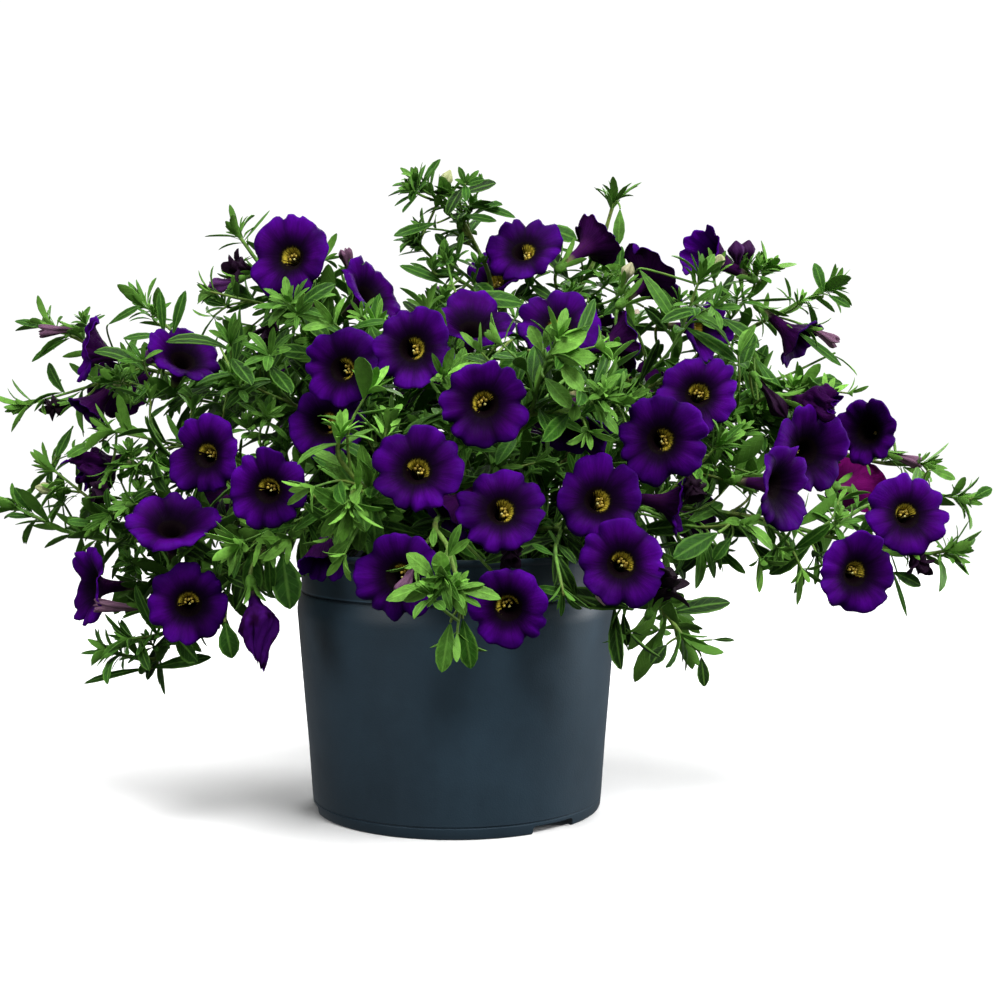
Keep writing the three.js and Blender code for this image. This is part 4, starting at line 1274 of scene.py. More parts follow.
class Room:
    """Tells whether a leaf would stand in a flower, in front of one, in the pot or too far out."""

    def __init__(self):
        flowers = [flower for shoot in PLAN for flower in shoot.flowers]
        self.throats = np.array([flower.throat for flower in flowers])
        self.axes = np.array([flower.axis for flower in flowers])
        self.edges = np.array([flower.edge for flower in flowers])
        self.rises = np.array([flower.rise for flower in flowers]) * self.edges
        self.clear = np.array([CLEARANCES.get(flower.form, CLEARANCE) for flower in flowers])
        low, high = (np.array(corner) / MM for corner in FRAME_BOX)
        self.low, self.high = low - FREE_MARGIN, high + FREE_MARGIN
        self.low[2] = LOWEST_LEAF

    def takes(self, base, direction, across, length):
        spots = [base + direction * length * s for s in (0.3, 0.55, 0.8, 1.0)]
        spots += [base + direction * length * 0.6 + s * across * length * 0.12 for s in (-1, 1)]
        spots = np.array(spots)
        if (spots < self.low).any() or (spots > self.high).any():
            return False
        apart = spots[:, None] - self.throats
        ahead = (apart * self.axes).sum(2)
        beside = np.linalg.norm(apart - ahead[..., None] * self.axes, axis=2)
        past_back = ahead > -LIMB_DEPTH
        in_front = past_back & (ahead < self.rises + self.clear) & (beside < self.edges * 0.97)
        in_limb = past_back & (ahead < self.rises + LIMB_DEPTH) & (beside < self.edges + 0.8)
        in_tube = (ahead > -TUBE_DEPTH) & ~past_back & (beside < TUBE_RADIUS)
        if (in_front | in_limb | in_tube).any():
            return False
        radius, height = np.hypot(spots[:, 0], spots[:, 1]), spots[:, 2]
        in_wall = (radius > WALL_INSIDE) & (radius < WALL_OUTSIDE) & (height < RIM_TOP)
        in_peat = (radius <= WALL_INSIDE) & (height < PEAT_TOP)
        return not (in_wall | in_peat).any()


def outwardness(spot):
    """Nought in the mound's middle, and one where its filling twigs end."""
    away = spot - MOUND_MIDDLE
    return np.linalg.norm(away / np.where(away < 0, MOUND_LOWER, MOUND_UPPER))


def twigs_of(shoot, room):
    """Short twigs that stand out from a shoot's stems and fill the mound."""
    if shoot.twigs is not None:
        return shoot.twigs
    shoot.twigs = []
    for i, stem in enumerate(shoot.stems):
        if shoot.is_bare(i):
            continue
        at, k = TWIG_START, 0
        while at < stem.length - 8:
            own = 17.3 * shoot.number + 5.1 * i + 0.77 * k
            base, direction, _ = stand(stem, at / stem.length, 2.4 * k + own, 0.95)
            direction = unit(direction + 0.3 * UP)
            across = unit(np.cross(stem.along(at / stem.length), direction))
            reach = 16 + 20 * chance(own)
            end = base + direction * reach
            is_kept = chance(own + 0.47) < shoot.kept_share
            if is_kept and outwardness(end) < 1 and room.takes(base, direction, across, reach):
                bend = 0.14 * reach * unit(np.cross(direction, across))
                shoot.twigs.append(Line([base, base + direction * reach * 0.5 + bend, end]))
            at, k = at + TWIG_SPACING, k + 1
    return shoot.twigs


class Foliage:
    """Every leaf of a shoot, as copies of the blade."""

    def __init__(self, shoot, sizes, room):
        self.shoot, self.room, self.copies = shoot, room, []
        self.longest = shoot.size_share * sizes.leaf_longest / MM
        self.shortest = shoot.size_share * sizes.leaf_shortest / MM
        self.spacing = sizes.leaf_spacing / MM
        self.slimness = sizes.slimness
        self.side_leaves, self.rosette = sizes.side_leaves, sizes.rosette

    def grow(self):
        """Sets the leaves on the stems, the twigs and the tufts, and then the broad ones."""
        for i, stem in enumerate(self.shoot.stems):
            seed = 7 * self.shoot.number + i
            self.add_framed(stem, seed)
            if not self.shoot.is_bare(i):
                self.add_between(stem, seed)
                self.add_rosette(stem, seed)
        for i, twig in enumerate(twigs_of(self.shoot, self.room)):
            self.add_on_twig(twig, 31.7 * self.shoot.number + 2.3 * i)
        for i, tuft in enumerate(self.shoot.tufts):
            self.add_tuft(tuft, i)
        for k, leaf in enumerate(self.shoot.broad_leaves):
            self.add_broad(leaf, k)
        return self.copies

    def add(self, place, length, tone, seed, narrow=1.0, on_twig=False):
        """Adds a leaf at its base, direction and crossways line, where there is room for it."""
        base, direction, across = place
        if not self.room.takes(base, direction, across, length):
            return
        if not on_twig and chance(2.7 * seed + 0.19) > self.shoot.kept_share:
            return
        width = narrow * length * self.slimness * (0.85 + 0.4 * chance(seed + 0.21))
        width = width / self.shoot.size_share
        bend = -0.1 + 1.1 * chance(seed + 0.37)
        fold = 0.08 + 0.3 * chance(seed + 0.53)
        twist = about(0, 0.7, seed + 0.71)
        blade = shaped_leaf(base, direction, across, length, width, bend, fold, twist)
        # The shoot's shift of tone: partly age, partly painted shade.
        tone += self.shoot.age_and_shade
        self.copies.append((template("leaf"), blade, min(1.0, max(0.0, tone))))

    def add_framed(self, stem, seed):
        """The leaves that the frame has too: a spiral along the stem and three at its tip."""
        k, at = 0, (0.22 if stem.is_main else 0.15) * stem.length
        while at < stem.length - FRAMED_REST:
            share = at / stem.length
            size = (self.longest + (self.shortest - self.longest) * share) * about(1, 0.3, seed + k)
            place = stand(stem, share, seed + k * GOLDEN_ANGLE, about(1.1, 0.3, seed + k + 0.5))
            self.add(place, size, 0.25 + 0.45 * share, seed + k + 0.11)
            k, at = k + 1, at + FRAMED_SPACING
        for k in range(3):
            turn, lean = seed + 2 * math.pi * k / 3, about(1.1 / 1.7, 0.6, seed + k + 0.25)
            place = stand(stem, 1 - 2 / stem.length, turn, lean)
            size = self.shortest * about(1.0, 0.4, seed + k + 0.75)
            self.add(place, size, 0.75, seed + k + 0.13)

    def add_between(self, stem, seed):
        """The leaves between the framed ones, with a tuft in each axil."""
        k, at = 0, 4.0
        while at < stem.length - 3:
            share = at / stem.length
            own = seed + 0.317 * k + 50
            grown = share if stem.is_main else 0.35 + 0.65 * share
            size = self.longest * 1.1 + (self.shortest - self.longest) * grown
            size = size * (0.75 + 0.5 * chance(own))
            turn = 1.9 + seed + k * GOLDEN_ANGLE
            base, direction, across = stand(stem, share, turn, 0.85 + 0.5 * chance(own + 0.1))
            across = to_the_light(direction, across, 0.9)
            tone = about(0.12 + 0.5 * grown, 0.3, own + 0.2)
            self.add((base, direction, across), size, tone, own)
            heart = unit(direction + 0.9 * stem.along(share))
            self.add_axil(base + 1.5 * heart, heart, across, tone + 0.22, own)
            k, at = k + 1, at + self.spacing

    def add_axil(self, base, heart, across, tone, own):
        """The small leaves of an axil, around the line of its heart."""
        side = unit(np.cross(heart, across + 0.3 * UP))
        other = np.cross(heart, side)
        for j in range(self.side_leaves):
            out = between(side, other, own + 2 * math.pi * j / self.side_leaves)
            direction = between(heart, out, 0.35 + 0.6 * chance(own + j + 0.4))
            crossing = to_the_light(direction, unit(np.cross(heart, direction)), 0.5)
            reach = self.shortest * (0.55 + 0.6 * chance(own + j + 0.5))
            self.add((base, direction, crossing), reach, tone, own + j + 0.6, 0.85)

    def add_rosette(self, stem, seed):
        """The rosette at a stem's tip: the youngest leaves stand closest to its line."""
        for k in range(3, self.rosette):
            own = seed + 0.513 * k + 90
            share = 1 - (0.5 + 4.5 * chance(own)) / stem.length
            grown = chance(own + 0.2)
            lean = 0.12 + 0.95 * chance(own + 0.1) * grown**0.5
            place = stand(stem, share, seed + k * GOLDEN_ANGLE, lean)
            reach = self.shortest * (0.4 + 0.62 * grown)
            self.add(place, reach, 1.0 - 0.55 * grown, own + 0.4, 0.78)

    def add_on_twig(self, twig, seed):
        """A spiral of leaves along a twig and seven at its tip, the lighter the further out: younger
        towards the mound's surface, and darker inside it as painted shade.
        """
        # Painted shade: the leaves of twigs deep inside the mound take the darkest tones.
        outer = max(0, outwardness(twig.at(1)) - 0.5)
        tone = -0.05 + 0.75 * outer * (0.6 + 0.8 * chance(seed))
        at, k = 5.0, 0
        while at < twig.length - 3:
            own = seed + 0.411 * k
            turn, lean = seed + k * GOLDEN_ANGLE, 0.8 + 0.5 * chance(own)
            base, direction, across = stand(twig, at / twig.length, turn, lean)
            across = to_the_light(direction, across, 0.8)
            reach = (self.longest + self.shortest) / 2 * (0.75 + 0.5 * chance(own + 0.1))
            self.add((base, direction, across), reach, tone, own + 0.2, on_twig=True)
            at, k = at + TWIG_LEAF_SPACING, k + 1
        for k in range(7):
            own = seed + 0.613 * k + 40
            place = stand(twig, 1 - 1 / twig.length, k * GOLDEN_ANGLE, 0.2 + 0.8 * chance(own))
            reach = self.shortest * (0.5 + 0.6 * chance(own + 0.1))
            age = tone + 0.3 + 0.3 * chance(own + 0.2)
            self.add(place, reach, age, own + 0.3, 0.85, on_twig=True)

    def add_tuft(self, tuft, number):
        """A spiral of leaves, from the smallest along the tuft's line to the largest beside it."""
        side = unit(np.cross(tuft.axis, (0.3, 1.0, 0.2)))
        other = np.cross(tuft.axis, side)
        for k in range(TUFT_LEAVES):
            own = 3.3 * number + 0.713 * k + 60 + self.shoot.number
            grown = k / (TUFT_LEAVES - 1)
            out = between(side, other, k * GOLDEN_ANGLE + number)
            direction = between(tuft.axis, out, about(0.15 + 1.15 * grown, 0.2, own))
            across = unit(np.cross(tuft.axis, out))
            length = tuft.reach * (0.55 + 0.75 * grown) * (0.85 + 0.3 * chance(own + 0.1))
            base = tuft.middle - tuft.axis * 3.5 * grown
            self.add((base, direction, across), length, 0.95 - 0.45 * grown, own + 0.2, 0.95)

    def add_broad(self, leaf, number):
        """A leaf that stands free of the mound, with its face to the front and the sky."""
        across = unit(np.cross(BROAD_LEAVES_FACE, leaf.direction))
        bend, fold = 0.15 + 0.4 * chance(number), 0.08 + 0.15 * chance(number + 0.5)
        blade = shaped_leaf(leaf.base, leaf.direction, across, leaf.length, leaf.width, bend, fold)
        # The shoot's shift of tone: partly age, partly painted shade.
        tone = leaf.tone + 0.5 * self.shoot.age_and_shade
        self.copies.append((template("leaf"), blade, max(0.0, tone)))


# -------- materials


def node(tree, kind, inputs=None, **settings):
    """Adds a node: inputs that are values are linked, the others are set."""
    made = tree.nodes.new(kind)
    for name, setting in settings.items():
        setattr(made, name, setting)
    for name, value in (inputs or {}).items():
        if isinstance(value, Value):
            tree.links.new(value.socket, made.inputs[name])
        else:
            made.inputs[name].default_value = value
    return made


class Value:
    """What a new node gives, with its tree, so that sums can be written on it."""

    def __init__(self, tree, output, kind, inputs=None, **settings):
        self.tree = tree
        self.socket = node(tree, kind, inputs, **settings).outputs[output]

    def __add__(self, other):
        return reckoned("ADD", self, other)

    def __sub__(self, other):
        return reckoned("SUBTRACT", self, other)

    def __mul__(self, other):
        return reckoned("MULTIPLY", self, other)


def reckoned(operation, *values):
    inputs = dict(enumerate(values))
    return Value(values[0].tree, 0, "ShaderNodeMath", inputs, operation=operation)


def mixed(share, first, second, blend="MIX"):
    """The second colour mixed over the first by its share."""
    tree = next(value.tree for value in (share, first, second) if isinstance(value, Value))
    first, second = (c if isinstance(c, Value) else (*c, 1) for c in (first, second))
    inputs = {0: share, 6: first, 7: second}
    return Value(tree, 2, "ShaderNodeMix", inputs, data_type="RGBA", blend_type=blend)


def shaded(colour, light):
    """A colour made lighter or darker by the light."""
    return mixed(1.0, colour, light, "MULTIPLY")


def graded(share, *stops):
    """A colour ramp; a stop is (position, colour or grey)."""
    made = Value(share.tree, "Color", "ShaderNodeValToRGB", {"Fac": share})
    ramp = made.socket.node.color_ramp
    while len(ramp.elements) < len(stops):
        ramp.elements.new(0.5)
    for element, (position, colour) in zip(ramp.elements, stops):
        element.position = position
        grey = isinstance(colour, (int, float))
        element.color = (colour, colour, colour, 1) if grey else (*colour, 1)
    return made


def cloud(place, scale, detail=2.0, roughness=0.5):
    inputs = {"Vector": place, "Scale": scale, "Detail": detail, "Roughness": roughness}
    return Value(place.tree, "Fac", "ShaderNodeTexNoise", inputs)


def object_place(tree):
    return Value(tree, "Object", "ShaderNodeTexCoord")


def lay_place(tree):
    """The piece's own map, as its two numbers."""
    both = Value(tree, "UV", "ShaderNodeUVMap", uv_map="lay")
    return split(both, "X"), split(both, "Y")


def split(vector, letter):
    return Value(vector.tree, letter, "ShaderNodeSeparateXYZ", {"Vector": vector})


def held(tree, name):
    """An attribute that each copy holds, such as its tone."""
    return Value(tree, "Fac", "ShaderNodeAttribute", attribute_name=name)


def around_place(around, along, spokes, stretch):
    """A place that runs around a flower without a seam, for streaks from foot to edge."""
    angle = around * (2 * math.pi)
    x, y = (reckoned(operation, angle) * spokes for operation in ("COSINE", "SINE"))
    inputs = {"X": x, "Y": y, "Z": along * stretch}
    return Value(around.tree, "Vector", "ShaderNodeCombineXYZ", inputs)


def begin(name, roughness, specular, **sockets):
    """A material, its tree, its shader and the place on the piece. A constant goes straight on
    the shader's own socket."""
    made = bpy.data.materials.new(name)
    made.use_nodes = True
    tree = made.node_tree
    shader = tree.nodes["Principled BSDF"]
    constants = {"Roughness": roughness, "Specular IOR Level": specular, **sockets}
    for socket, value in constants.items():
        shader.inputs[socket.replace("_", " ")].default_value = value
    return made, tree, shader, object_place(tree)


def join(shader, socket, value):
    value.tree.links.new(value.socket, shader.inputs[socket])


def roughen(shader, grain, least, most):
    """Lets the shader's roughness run from least to most with a grain."""
    join(shader, "Roughness", graded(grain, (0.3, least), (0.7, most)))


def bump(shader, height, strength, distance):
    inputs = {"Height": height, "Strength": strength, "Distance": distance}
    join(shader, "Normal", Value(height.tree, "Normal", "ShaderNodeBump", inputs))


def scaled(colour, factor):
    return tuple(min(1.0, channel * factor) for channel in colour)


def chosen(colours, *names):
    """The settings' colours of those names, as plain tuples."""
    return (tuple(getattr(colours, name)) for name in names)


def throat_colours(around, along, place, streak, throat):
    """The inside of the tube: gold with dark crumbs, painted shade over its unlit side, and painted shade
    over all of it in a deep flower.
    """
    tone = held(along.tree, "tone")
    gold = mixed(graded(streak, (0.4, 0.0), (0.56, 1.0)), scaled(throat, 0.14), throat)
    crumbs = graded(cloud(place, 1300, 2), (0.36, 0.7), (0.5, 0.0))
    gold = mixed(crumbs, gold, scaled(throat, 0.2))
    # Painted shade: the gold shows only on the lit side of the tube, and a deep flower's throat is painted
    # dark all over.
    turned = around * (2 * math.pi) - 0.6 - tone * 1.5
    lit_fan = (reckoned("COSINE", turned) + (streak - 0.5) * 2.4 + 1.0) * 0.5
    shown = graded(tone, (0.9, 1.0), (0.95, 0.0))
    gold = mixed(graded(lit_fan, (0.48, 0.0), (0.58, 1.0)) * shown, DARKEST, gold)
    ended = along + (streak - 0.5) * 0.14
    depth = graded(ended, (0.04, 0.0), (0.1, 1.0), (0.325, 1.0), (0.36, 0.0))
    return mixed(depth, DARKEST, gold)


def petal_face_material(colours):
    material, tree, shader, place = begin("petal_face", 0.55, 0.015)
    around, along = lay_place(tree)
    tone, shade = held(tree, "tone"), held(tree, "shade")
    petal, tint, ring, throat = chosen(colours, "petal", "petal_tint", "ring", "throat")
    clouds = graded(cloud(place, 95, 3), (0.38, 0.0), (0.66, 1.0))
    limb = mixed(clouds * (tone * 0.6 + 0.25), petal, tint)
    veins = cloud(around_place(around, along, 9, 2.2), 1.6, 4, 0.6)
    limb = mixed(graded(veins, (0.42, 0.3), (0.6, 0.0)), limb, scaled(petal, 0.35))
    # The dark eye reaches further out where the shade attribute is low, along the painted creases.
    spread = along + (veins - 0.5) * 0.1 + (shade - 0.8) * 0.3
    inner = graded(spread, (0.55, 1.0), (0.85, 0.0))
    limb = mixed(inner * 0.6, limb, scaled(tint, 2.2))
    # The petals' edge turns bluer and lighter: partly its own rim colour, partly a painted highlight.
    limb = mixed(graded(along, (0.8, 0.0), (1.0, 0.2)), limb, RIM_BLUE_AND_HIGHLIGHT)
    limb = shaded(limb, graded(tone, (0.0, 0.8), (1.0, 1.12)))
    # Painted light and shade: cloudy patches stand in for the light and shade on the petals' folds and
    # bulges.
    limb = shaded(limb, graded(cloud(place, 70, 2), (0.36, 0.55), (0.5, 0.95), (0.64, 1.05)))
    # The painted shade of the creases and lobes darkens the limb.
    limb = shaded(limb, graded(shade, (0.2, 0.25), (1.0, 1.1)))
    streak = cloud(around_place(around, along, 6, 3.0), 1.3, 3, 0.7)
    inside = throat_colours(around, along, place, streak, throat)
    to_ring = graded(along, (0.385, 0.0), (0.415, 1.0))
    to_limb = graded(
        spread, (0.44, 0.0), (0.54, 0.09), (0.6, 0.24), (0.66, 0.46), (0.73, 0.72), (0.81, 0.88),
        (0.95, 0.94),
    )
    join(shader, "Base Color", mixed(to_limb, mixed(to_ring, inside, ring), limb))
    roughen(shader, cloud(place, 700, 2), 0.46, 0.66)
    bump(shader, veins + cloud(place, 1500, 2) * 0.3, 0.35, 0.0006)
    return material


def petal_back_material(colours):
    material, tree, shader, place = begin("petal_back", 0.6, 0.02)
    around, along = lay_place(tree)
    tone = held(tree, "tone")
    back, tube = chosen(colours, "petal_back", "tube")
    veins = cloud(around_place(around, along, 8, 1.2), 2.0, 3, 0.6)
    limb = mixed(graded(veins, (0.42, 0.55), (0.58, 0.0)), back, scaled(back, 0.4))
    pipe = mixed(graded(veins, (0.44, 1.0), (0.56, 0.0)), tube, scaled(back, 1.6))
    base = mixed(graded(along, (0.03, 0.0), (0.13, 1.0)), TUBE_FOOT, pipe)
    colour = mixed(graded(along, (0.25, 0.0), (0.45, 1.0)), base, limb)
    colour = shaded(colour, graded(cloud(place, 160, 3), (0.35, 0.8), (0.65, 1.15)))
    flushed = graded(tone, (0.84, 0.0), (0.86, 0.8), (0.9, 0.8), (0.92, 0.0))
    colour = mixed(flushed, colour, MAGENTA_BACK)
    folded = graded(tone, (0.94, 0.0), (0.955, 0.8), (0.975, 0.8), (0.985, 0.0))
    patch = graded(cloud(place, 120, 2), (0.42, 1.0), (0.55, 0.0))
    colour = mixed(folded, colour, mixed(patch, FOLDED_BACK, scaled(back, 0.6)))
    join(shader, "Base Color", colour)
    bump(shader, veins, 0.5, 0.0006)
    return material


def leaf_material(colours):
    finish = {"Sheen_Weight": 0.015, "Sheen_Roughness": 0.5}
    material, tree, shader, place = begin("leaf_blade", 0.5, 0.08, **finish)
    across, along = lay_place(tree)
    old, grown, young = chosen(colours, "old_and_shaded_leaf", "leaf", "young_leaf")
    age = held(tree, "tone") + (cloud(place, 45, 2) - 0.5) * 0.35
    colour = graded(age, (0.0, old), (0.42, grown), (0.85, young), (1.0, scaled(young, 1.6)))
    colour = shaded(colour, graded(cloud(place, 420, 3), (0.35, 0.72), (0.65, 1.2)))
    aside = reckoned("ABSOLUTE", across - 0.5) * 2.0
    rib = graded(aside, (0.0, 1.0), (0.07, 0.8), (0.18, 0.0))
    margin = graded(aside, (0.74, 0.0), (0.9, 1.0))
    run = along * 7.0 - aside * 1.6
    wave = reckoned("ABSOLUTE", reckoned("FRACT", run) - 0.5)
    vein = graded(wave, (0.0, 1.0), (0.1, 0.0))
    paler = mixed(0.55, colour, scaled(young, 1.5))
    for line, share in ((rib, 0.65), (vein, 0.22), (margin, 0.6)):
        colour = mixed(line * share, colour, paler)
    join(shader, "Base Color", colour)
    roughen(shader, cloud(place, 900, 2), 0.42, 0.62)
    bump(shader, cloud(place, 1100, 2) - (rib + vein * 0.5), 0.4, 0.0004)
    return material


def stem_material(colours):
    material, tree, shader, place = begin("stem_skin", 0.55, 0.2, Sheen_Weight=0.04)
    (green,) = chosen(colours, "stem")
    woody = graded(cloud(place, 60, 3), (0.45, 0.0), (0.7, 0.5))
    streak = graded(cloud(place, 500, 3), (0.35, 0.7), (0.65, 1.25))
    join(shader, "Base Color", shaded(mixed(woody, green, WOODY), streak))
    bump(shader, cloud(place, 1400, 2), 0.5, 0.0004)
    return material


def anther_material(colours):
    """Gold for the anthers, whose tone is 0, and cream for the stigma, whose tone is 1."""
    material, tree, shader, place = begin("anther_and_stigma", 0.6, 0.3)
    gold = graded(cloud(place, 900, 2), (0.38, POLLEN[0]), (0.62, POLLEN[1]))
    cream = graded(cloud(place, 700, 2), (0.3, CREAM[0]), (0.7, CREAM[1]))
    join(shader, "Base Color", mixed(held(tree, "tone"), gold, cream))
    bump(shader, cloud(place, 2500, 2), 0.6, 0.0003)
    return material


def bud_material(colours):
    """Folded petals that go with age from green through mauve and purple to black."""
    material, tree, shader, place = begin("folded_petal", 0.6, 0.08)
    around, along = lay_place(tree)
    streak = cloud(around_place(around, along, 6, 1.5), 2.0, 4, 0.6)
    colour = graded(held(tree, "tone") + (streak - 0.5) * 0.3, *BUD_AGES)
    join(shader, "Base Color", mixed(graded(along, (0.0, 0.25), (0.2, 0.0)), colour, BUD_FOOT))
    bump(shader, streak, 0.6, 0.0006)
    return material


def pot_material(colours):
    """Moulded plastic with faint runs and dust, painted shade by height, a painted highlight on the step
    below the rim band and painted shade in the furrow just under it.
    """
    material, tree, shader, place = begin("moulded_pot", 0.42, 0.24)
    (dark,) = chosen(colours, "pot")
    inputs = {"Vector": place, "Scale": (1.0, 1.0, 0.12)}
    run = cloud(Value(tree, "Vector", "ShaderNodeMapping", inputs), 60, 3)
    dust = cloud(place, 38, 4, 0.6)
    colour = mixed(graded(dust, (0.4, 0.0), (0.75, 0.3)), dark, scaled(dark, 1.9))
    colour = mixed(graded(run, (0.45, 0.0), (0.7, 0.1)), colour, scaled(dark, 2.2))
    level = split(place, "Z") * 10.0
    # Painted shade: the pot is darkened towards its foot and over its shoulder.
    colour = shaded(colour, graded(level, *POT_PAINTED_SHADE))
    # A painted highlight on the step below the rim band.
    painted_ledge_highlight = graded(level, (0.884, 0.0), (0.8865, 0.3), (0.89, 0.0))
    colour = mixed(painted_ledge_highlight, colour, scaled(dark, 4.0))
    # Painted shade in the furrow just under that step.
    painted_groove_shade = graded(level, (0.868, 1.0), (0.874, 0.45), (0.88, 0.45), (0.884, 1.0))
    join(shader, "Base Color", shaded(colour, painted_groove_shade))
    roughen(shader, cloud(place, 120, 3), 0.38, 0.44)
    bump(shader, cloud(place, 1600, 2) + run * 0.8, 0.12, 0.0005)
    return material


def peat_material(colours):
    """Damp peat with a few pale grains."""
    material, tree, shader, place = begin("damp_peat", 0.9, 0.2)
    (peat,) = chosen(colours, "peat")
    grain = cloud(place, 420, 5, 0.65)
    colour = graded(grain, (0.3, scaled(peat, 0.35)), (0.55, peat), (0.75, scaled(peat, 2.6)))
    cells = {"Vector": place, "Scale": 260.0}
    own, apart = (Value(tree, name, "ShaderNodeTexVoronoi", cells) for name in ("Color", "Distance"))
    few = graded(split(own, "X"), (0.93, 0.0), (0.95, 1.0))
    near = graded(apart, (0.25, 1.0), (0.35, 0.0))
    join(shader, "Base Color", mixed(few * near, colour, PALE_GRAIN))
    bump(shader, grain, 1.0, 0.002)
    return material


MATERIAL_MAKERS = {
    "petal_face": petal_face_material, "petal_back": petal_back_material, "leaf": leaf_material,
    "stem": stem_material, "anther": anther_material, "bud": bud_material, "pot": pot_material,
    "peat": peat_material,
}
MATERIALS = {}


def material(name):
    """The material of that name, made when it is first asked for."""
    if name not in MATERIALS:
        MATERIALS[name] = MATERIAL_MAKERS[name](bpy.context.scene.calibrachoa_colours)
    return MATERIALS[name]


# -------- operators


class CALIBRACHOA_OT_pot(bpy.types.Operator):
    """Turn the pot, and cut the notches in its foot and the holes in its floor"""

    bl_idname = "calibrachoa.pot"
    bl_label = "Mould the Pot"

    def execute(self, context):
        pot = turned_ring("pot_shell", POT_OUTLINE, 144)
        grow_rings([POT_OUTLINE[-1], *POT_UNDERSIDE])
        bpy.ops.mesh.select_all(action="DESELECT")
        bpy.ops.mesh.select_non_manifold()
        bpy.ops.mesh.bridge_edge_loops()
        outward()
        notches = [self.notch(math.radians(bearing)) for bearing in NOTCH_BEARINGS]
        drains = [self.drain(math.radians(bearing)) for bearing in DRAIN_BEARINGS]
        cut_away(pot, notches + drains)
        smooth(pot, 35)
        finish_piece(pot, "pot", "pot", "pot")
        return {"FINISHED"}

    def notch(self, angle):
        """A rounded block that cuts a notch in the foot at that angle."""
        clear_selection()
        bpy.ops.mesh.primitive_cube_add(
            size=1, location=self.spot(NOTCH_REACH, angle, 0), rotation=(0, 0, angle),
            scale=[side * MM for side in NOTCH_SIZE],
        )
        apply_place()
        edit_whole()
        bpy.ops.mesh.bevel(offset=NOTCH_ROUNDING * MM, segments=4)
        bpy.ops.object.mode_set(mode="OBJECT")
        return bpy.context.object

    def drain(self, angle):
        """A pin that cuts a drain hole in the floor at that angle."""
        clear_selection()
        bpy.ops.mesh.primitive_cylinder_add(
            vertices=24, radius=DRAIN_RADIUS * MM, depth=DRAIN_DEPTH * MM,
            location=self.spot(DRAIN_REACH, angle, DRAIN_HEIGHT),
        )
        apply_place()
        return bpy.context.object

    def spot(self, reach, angle, height):
        return reach * MM * math.cos(angle), reach * MM * math.sin(angle), height * MM


class CALIBRACHOA_OT_peat(bpy.types.Operator):
    """Fill the pot with peat that has a lumpy top"""

    bl_idname = "calibrachoa.peat"
    bl_label = "Fill with Peat"

    def execute(self, context):
        peat = turned_ring("peat_bed", SOIL_OUTLINE, 96)
        bpy.ops.mesh.merge(type="CENTER")
        pick(peat, lambda x, y, z: z < PEAT_BOTTOM)
        bpy.ops.mesh.edge_face_add()
        outward()
        places = points_of(peat.data)
        for place in places:
            if place[2] > PEAT_SURFACE * MM:
                spot = Vector(place)
                lump = noise.fractal(spot * 140, 0.7, 2.0, 4) * 1.6 + noise.noise(spot * 700) * 0.5
                place[2] += lump * MM - 0.6 * MM
        peat.data.vertices.foreach_set("co", places.astype(np.float32).ravel())
        peat.data.update()
        work_on(peat)
        bpy.ops.object.shade_smooth()
        finish_piece(peat, "peat", "soil", "soil")
        return {"FINISHED"}


class CALIBRACHOA_OT_stems(bpy.types.Operator):
    """Draw each shoot's stems, twigs and stalks as tapered tubes with knots"""

    bl_idname = "calibrachoa.stems"
    bl_label = "Grow the Stems"

    def execute(self, context):
        room = Room()
        for shoot in PLAN:
            curve = bpy.data.curves.new(f"stems_{shoot.name}", "CURVE")
            curve.dimensions, curve.bevel_depth, curve.bevel_resolution = "3D", MM, 1
            curve.use_fill_caps = True
            for stem in shoot.stems:
                thick, thin = (1.5, 0.75) if stem.is_main else (0.85, 0.5)
                shares = np.linspace(0, 1, max(6, round(stem.length / 3)))
                knots = np.maximum(0, np.cos(shares * stem.length * 2 * np.pi / KNOT_SPACING)) ** 6
                radii = (thick + (thin - thick) * shares) * (1 + KNOT_SWELL * knots)
                self.add_tube(curve, [stem.at(share) for share in shares], radii)
            for twig in twigs_of(shoot, room):
                shares = np.linspace(0, 1, TWIG_POINTS)
                radii = np.linspace(0.6, 0.4, TWIG_POINTS)
                self.add_tube(curve, [twig.at(share) for share in shares], radii)
            for points, first, last in stalks_of(shoot):
                self.add_tube(curve, points, np.linspace(first, last, STALK_POINTS))
            drawn = bpy.data.objects.new(curve.name, curve)
            context.scene.collection.objects.link(drawn)
            work_on(drawn)
            bpy.ops.object.convert(target="MESH")
            stems = context.object
            stems.data.polygons.foreach_set("use_smooth", [True] * len(stems.data.polygons))
            finish_piece(stems, "stem", "leaf", shoot.node)
        return {"FINISHED"}

    def add_tube(self, curve, points, radii):
        """Adds a line of points in millimetres, each with its radius."""
        spline = curve.splines.new("POLY")
        spline.points.add(len(points) - 1)
        rows = np.column_stack([np.array(points) * MM, np.ones(len(points))])
        spline.points.foreach_set("co", rows.astype(np.float32).ravel())
        spline.points.foreach_set("radius", np.array(radii, np.float32))


class CALIBRACHOA_OT_leaves(bpy.types.Operator):
    """Set the leaves on each shoot: along its stems, in the axils and in a rosette at each tip"""

    bl_idname = "calibrachoa.leaves"
    bl_label = "Grow the Leaves"

    def execute(self, context):
        room = Room()
        for shoot in PLAN:
            copies = Foliage(shoot, context.scene.calibrachoa_sizes, room).grow()
            leaves = assemble(f"leaves_{shoot.name}", copies)
            smooth(leaves, BLADE_ANGLE)
            finish_piece(leaves, "leaf", "leaf", shoot.node)
        return {"FINISHED"}


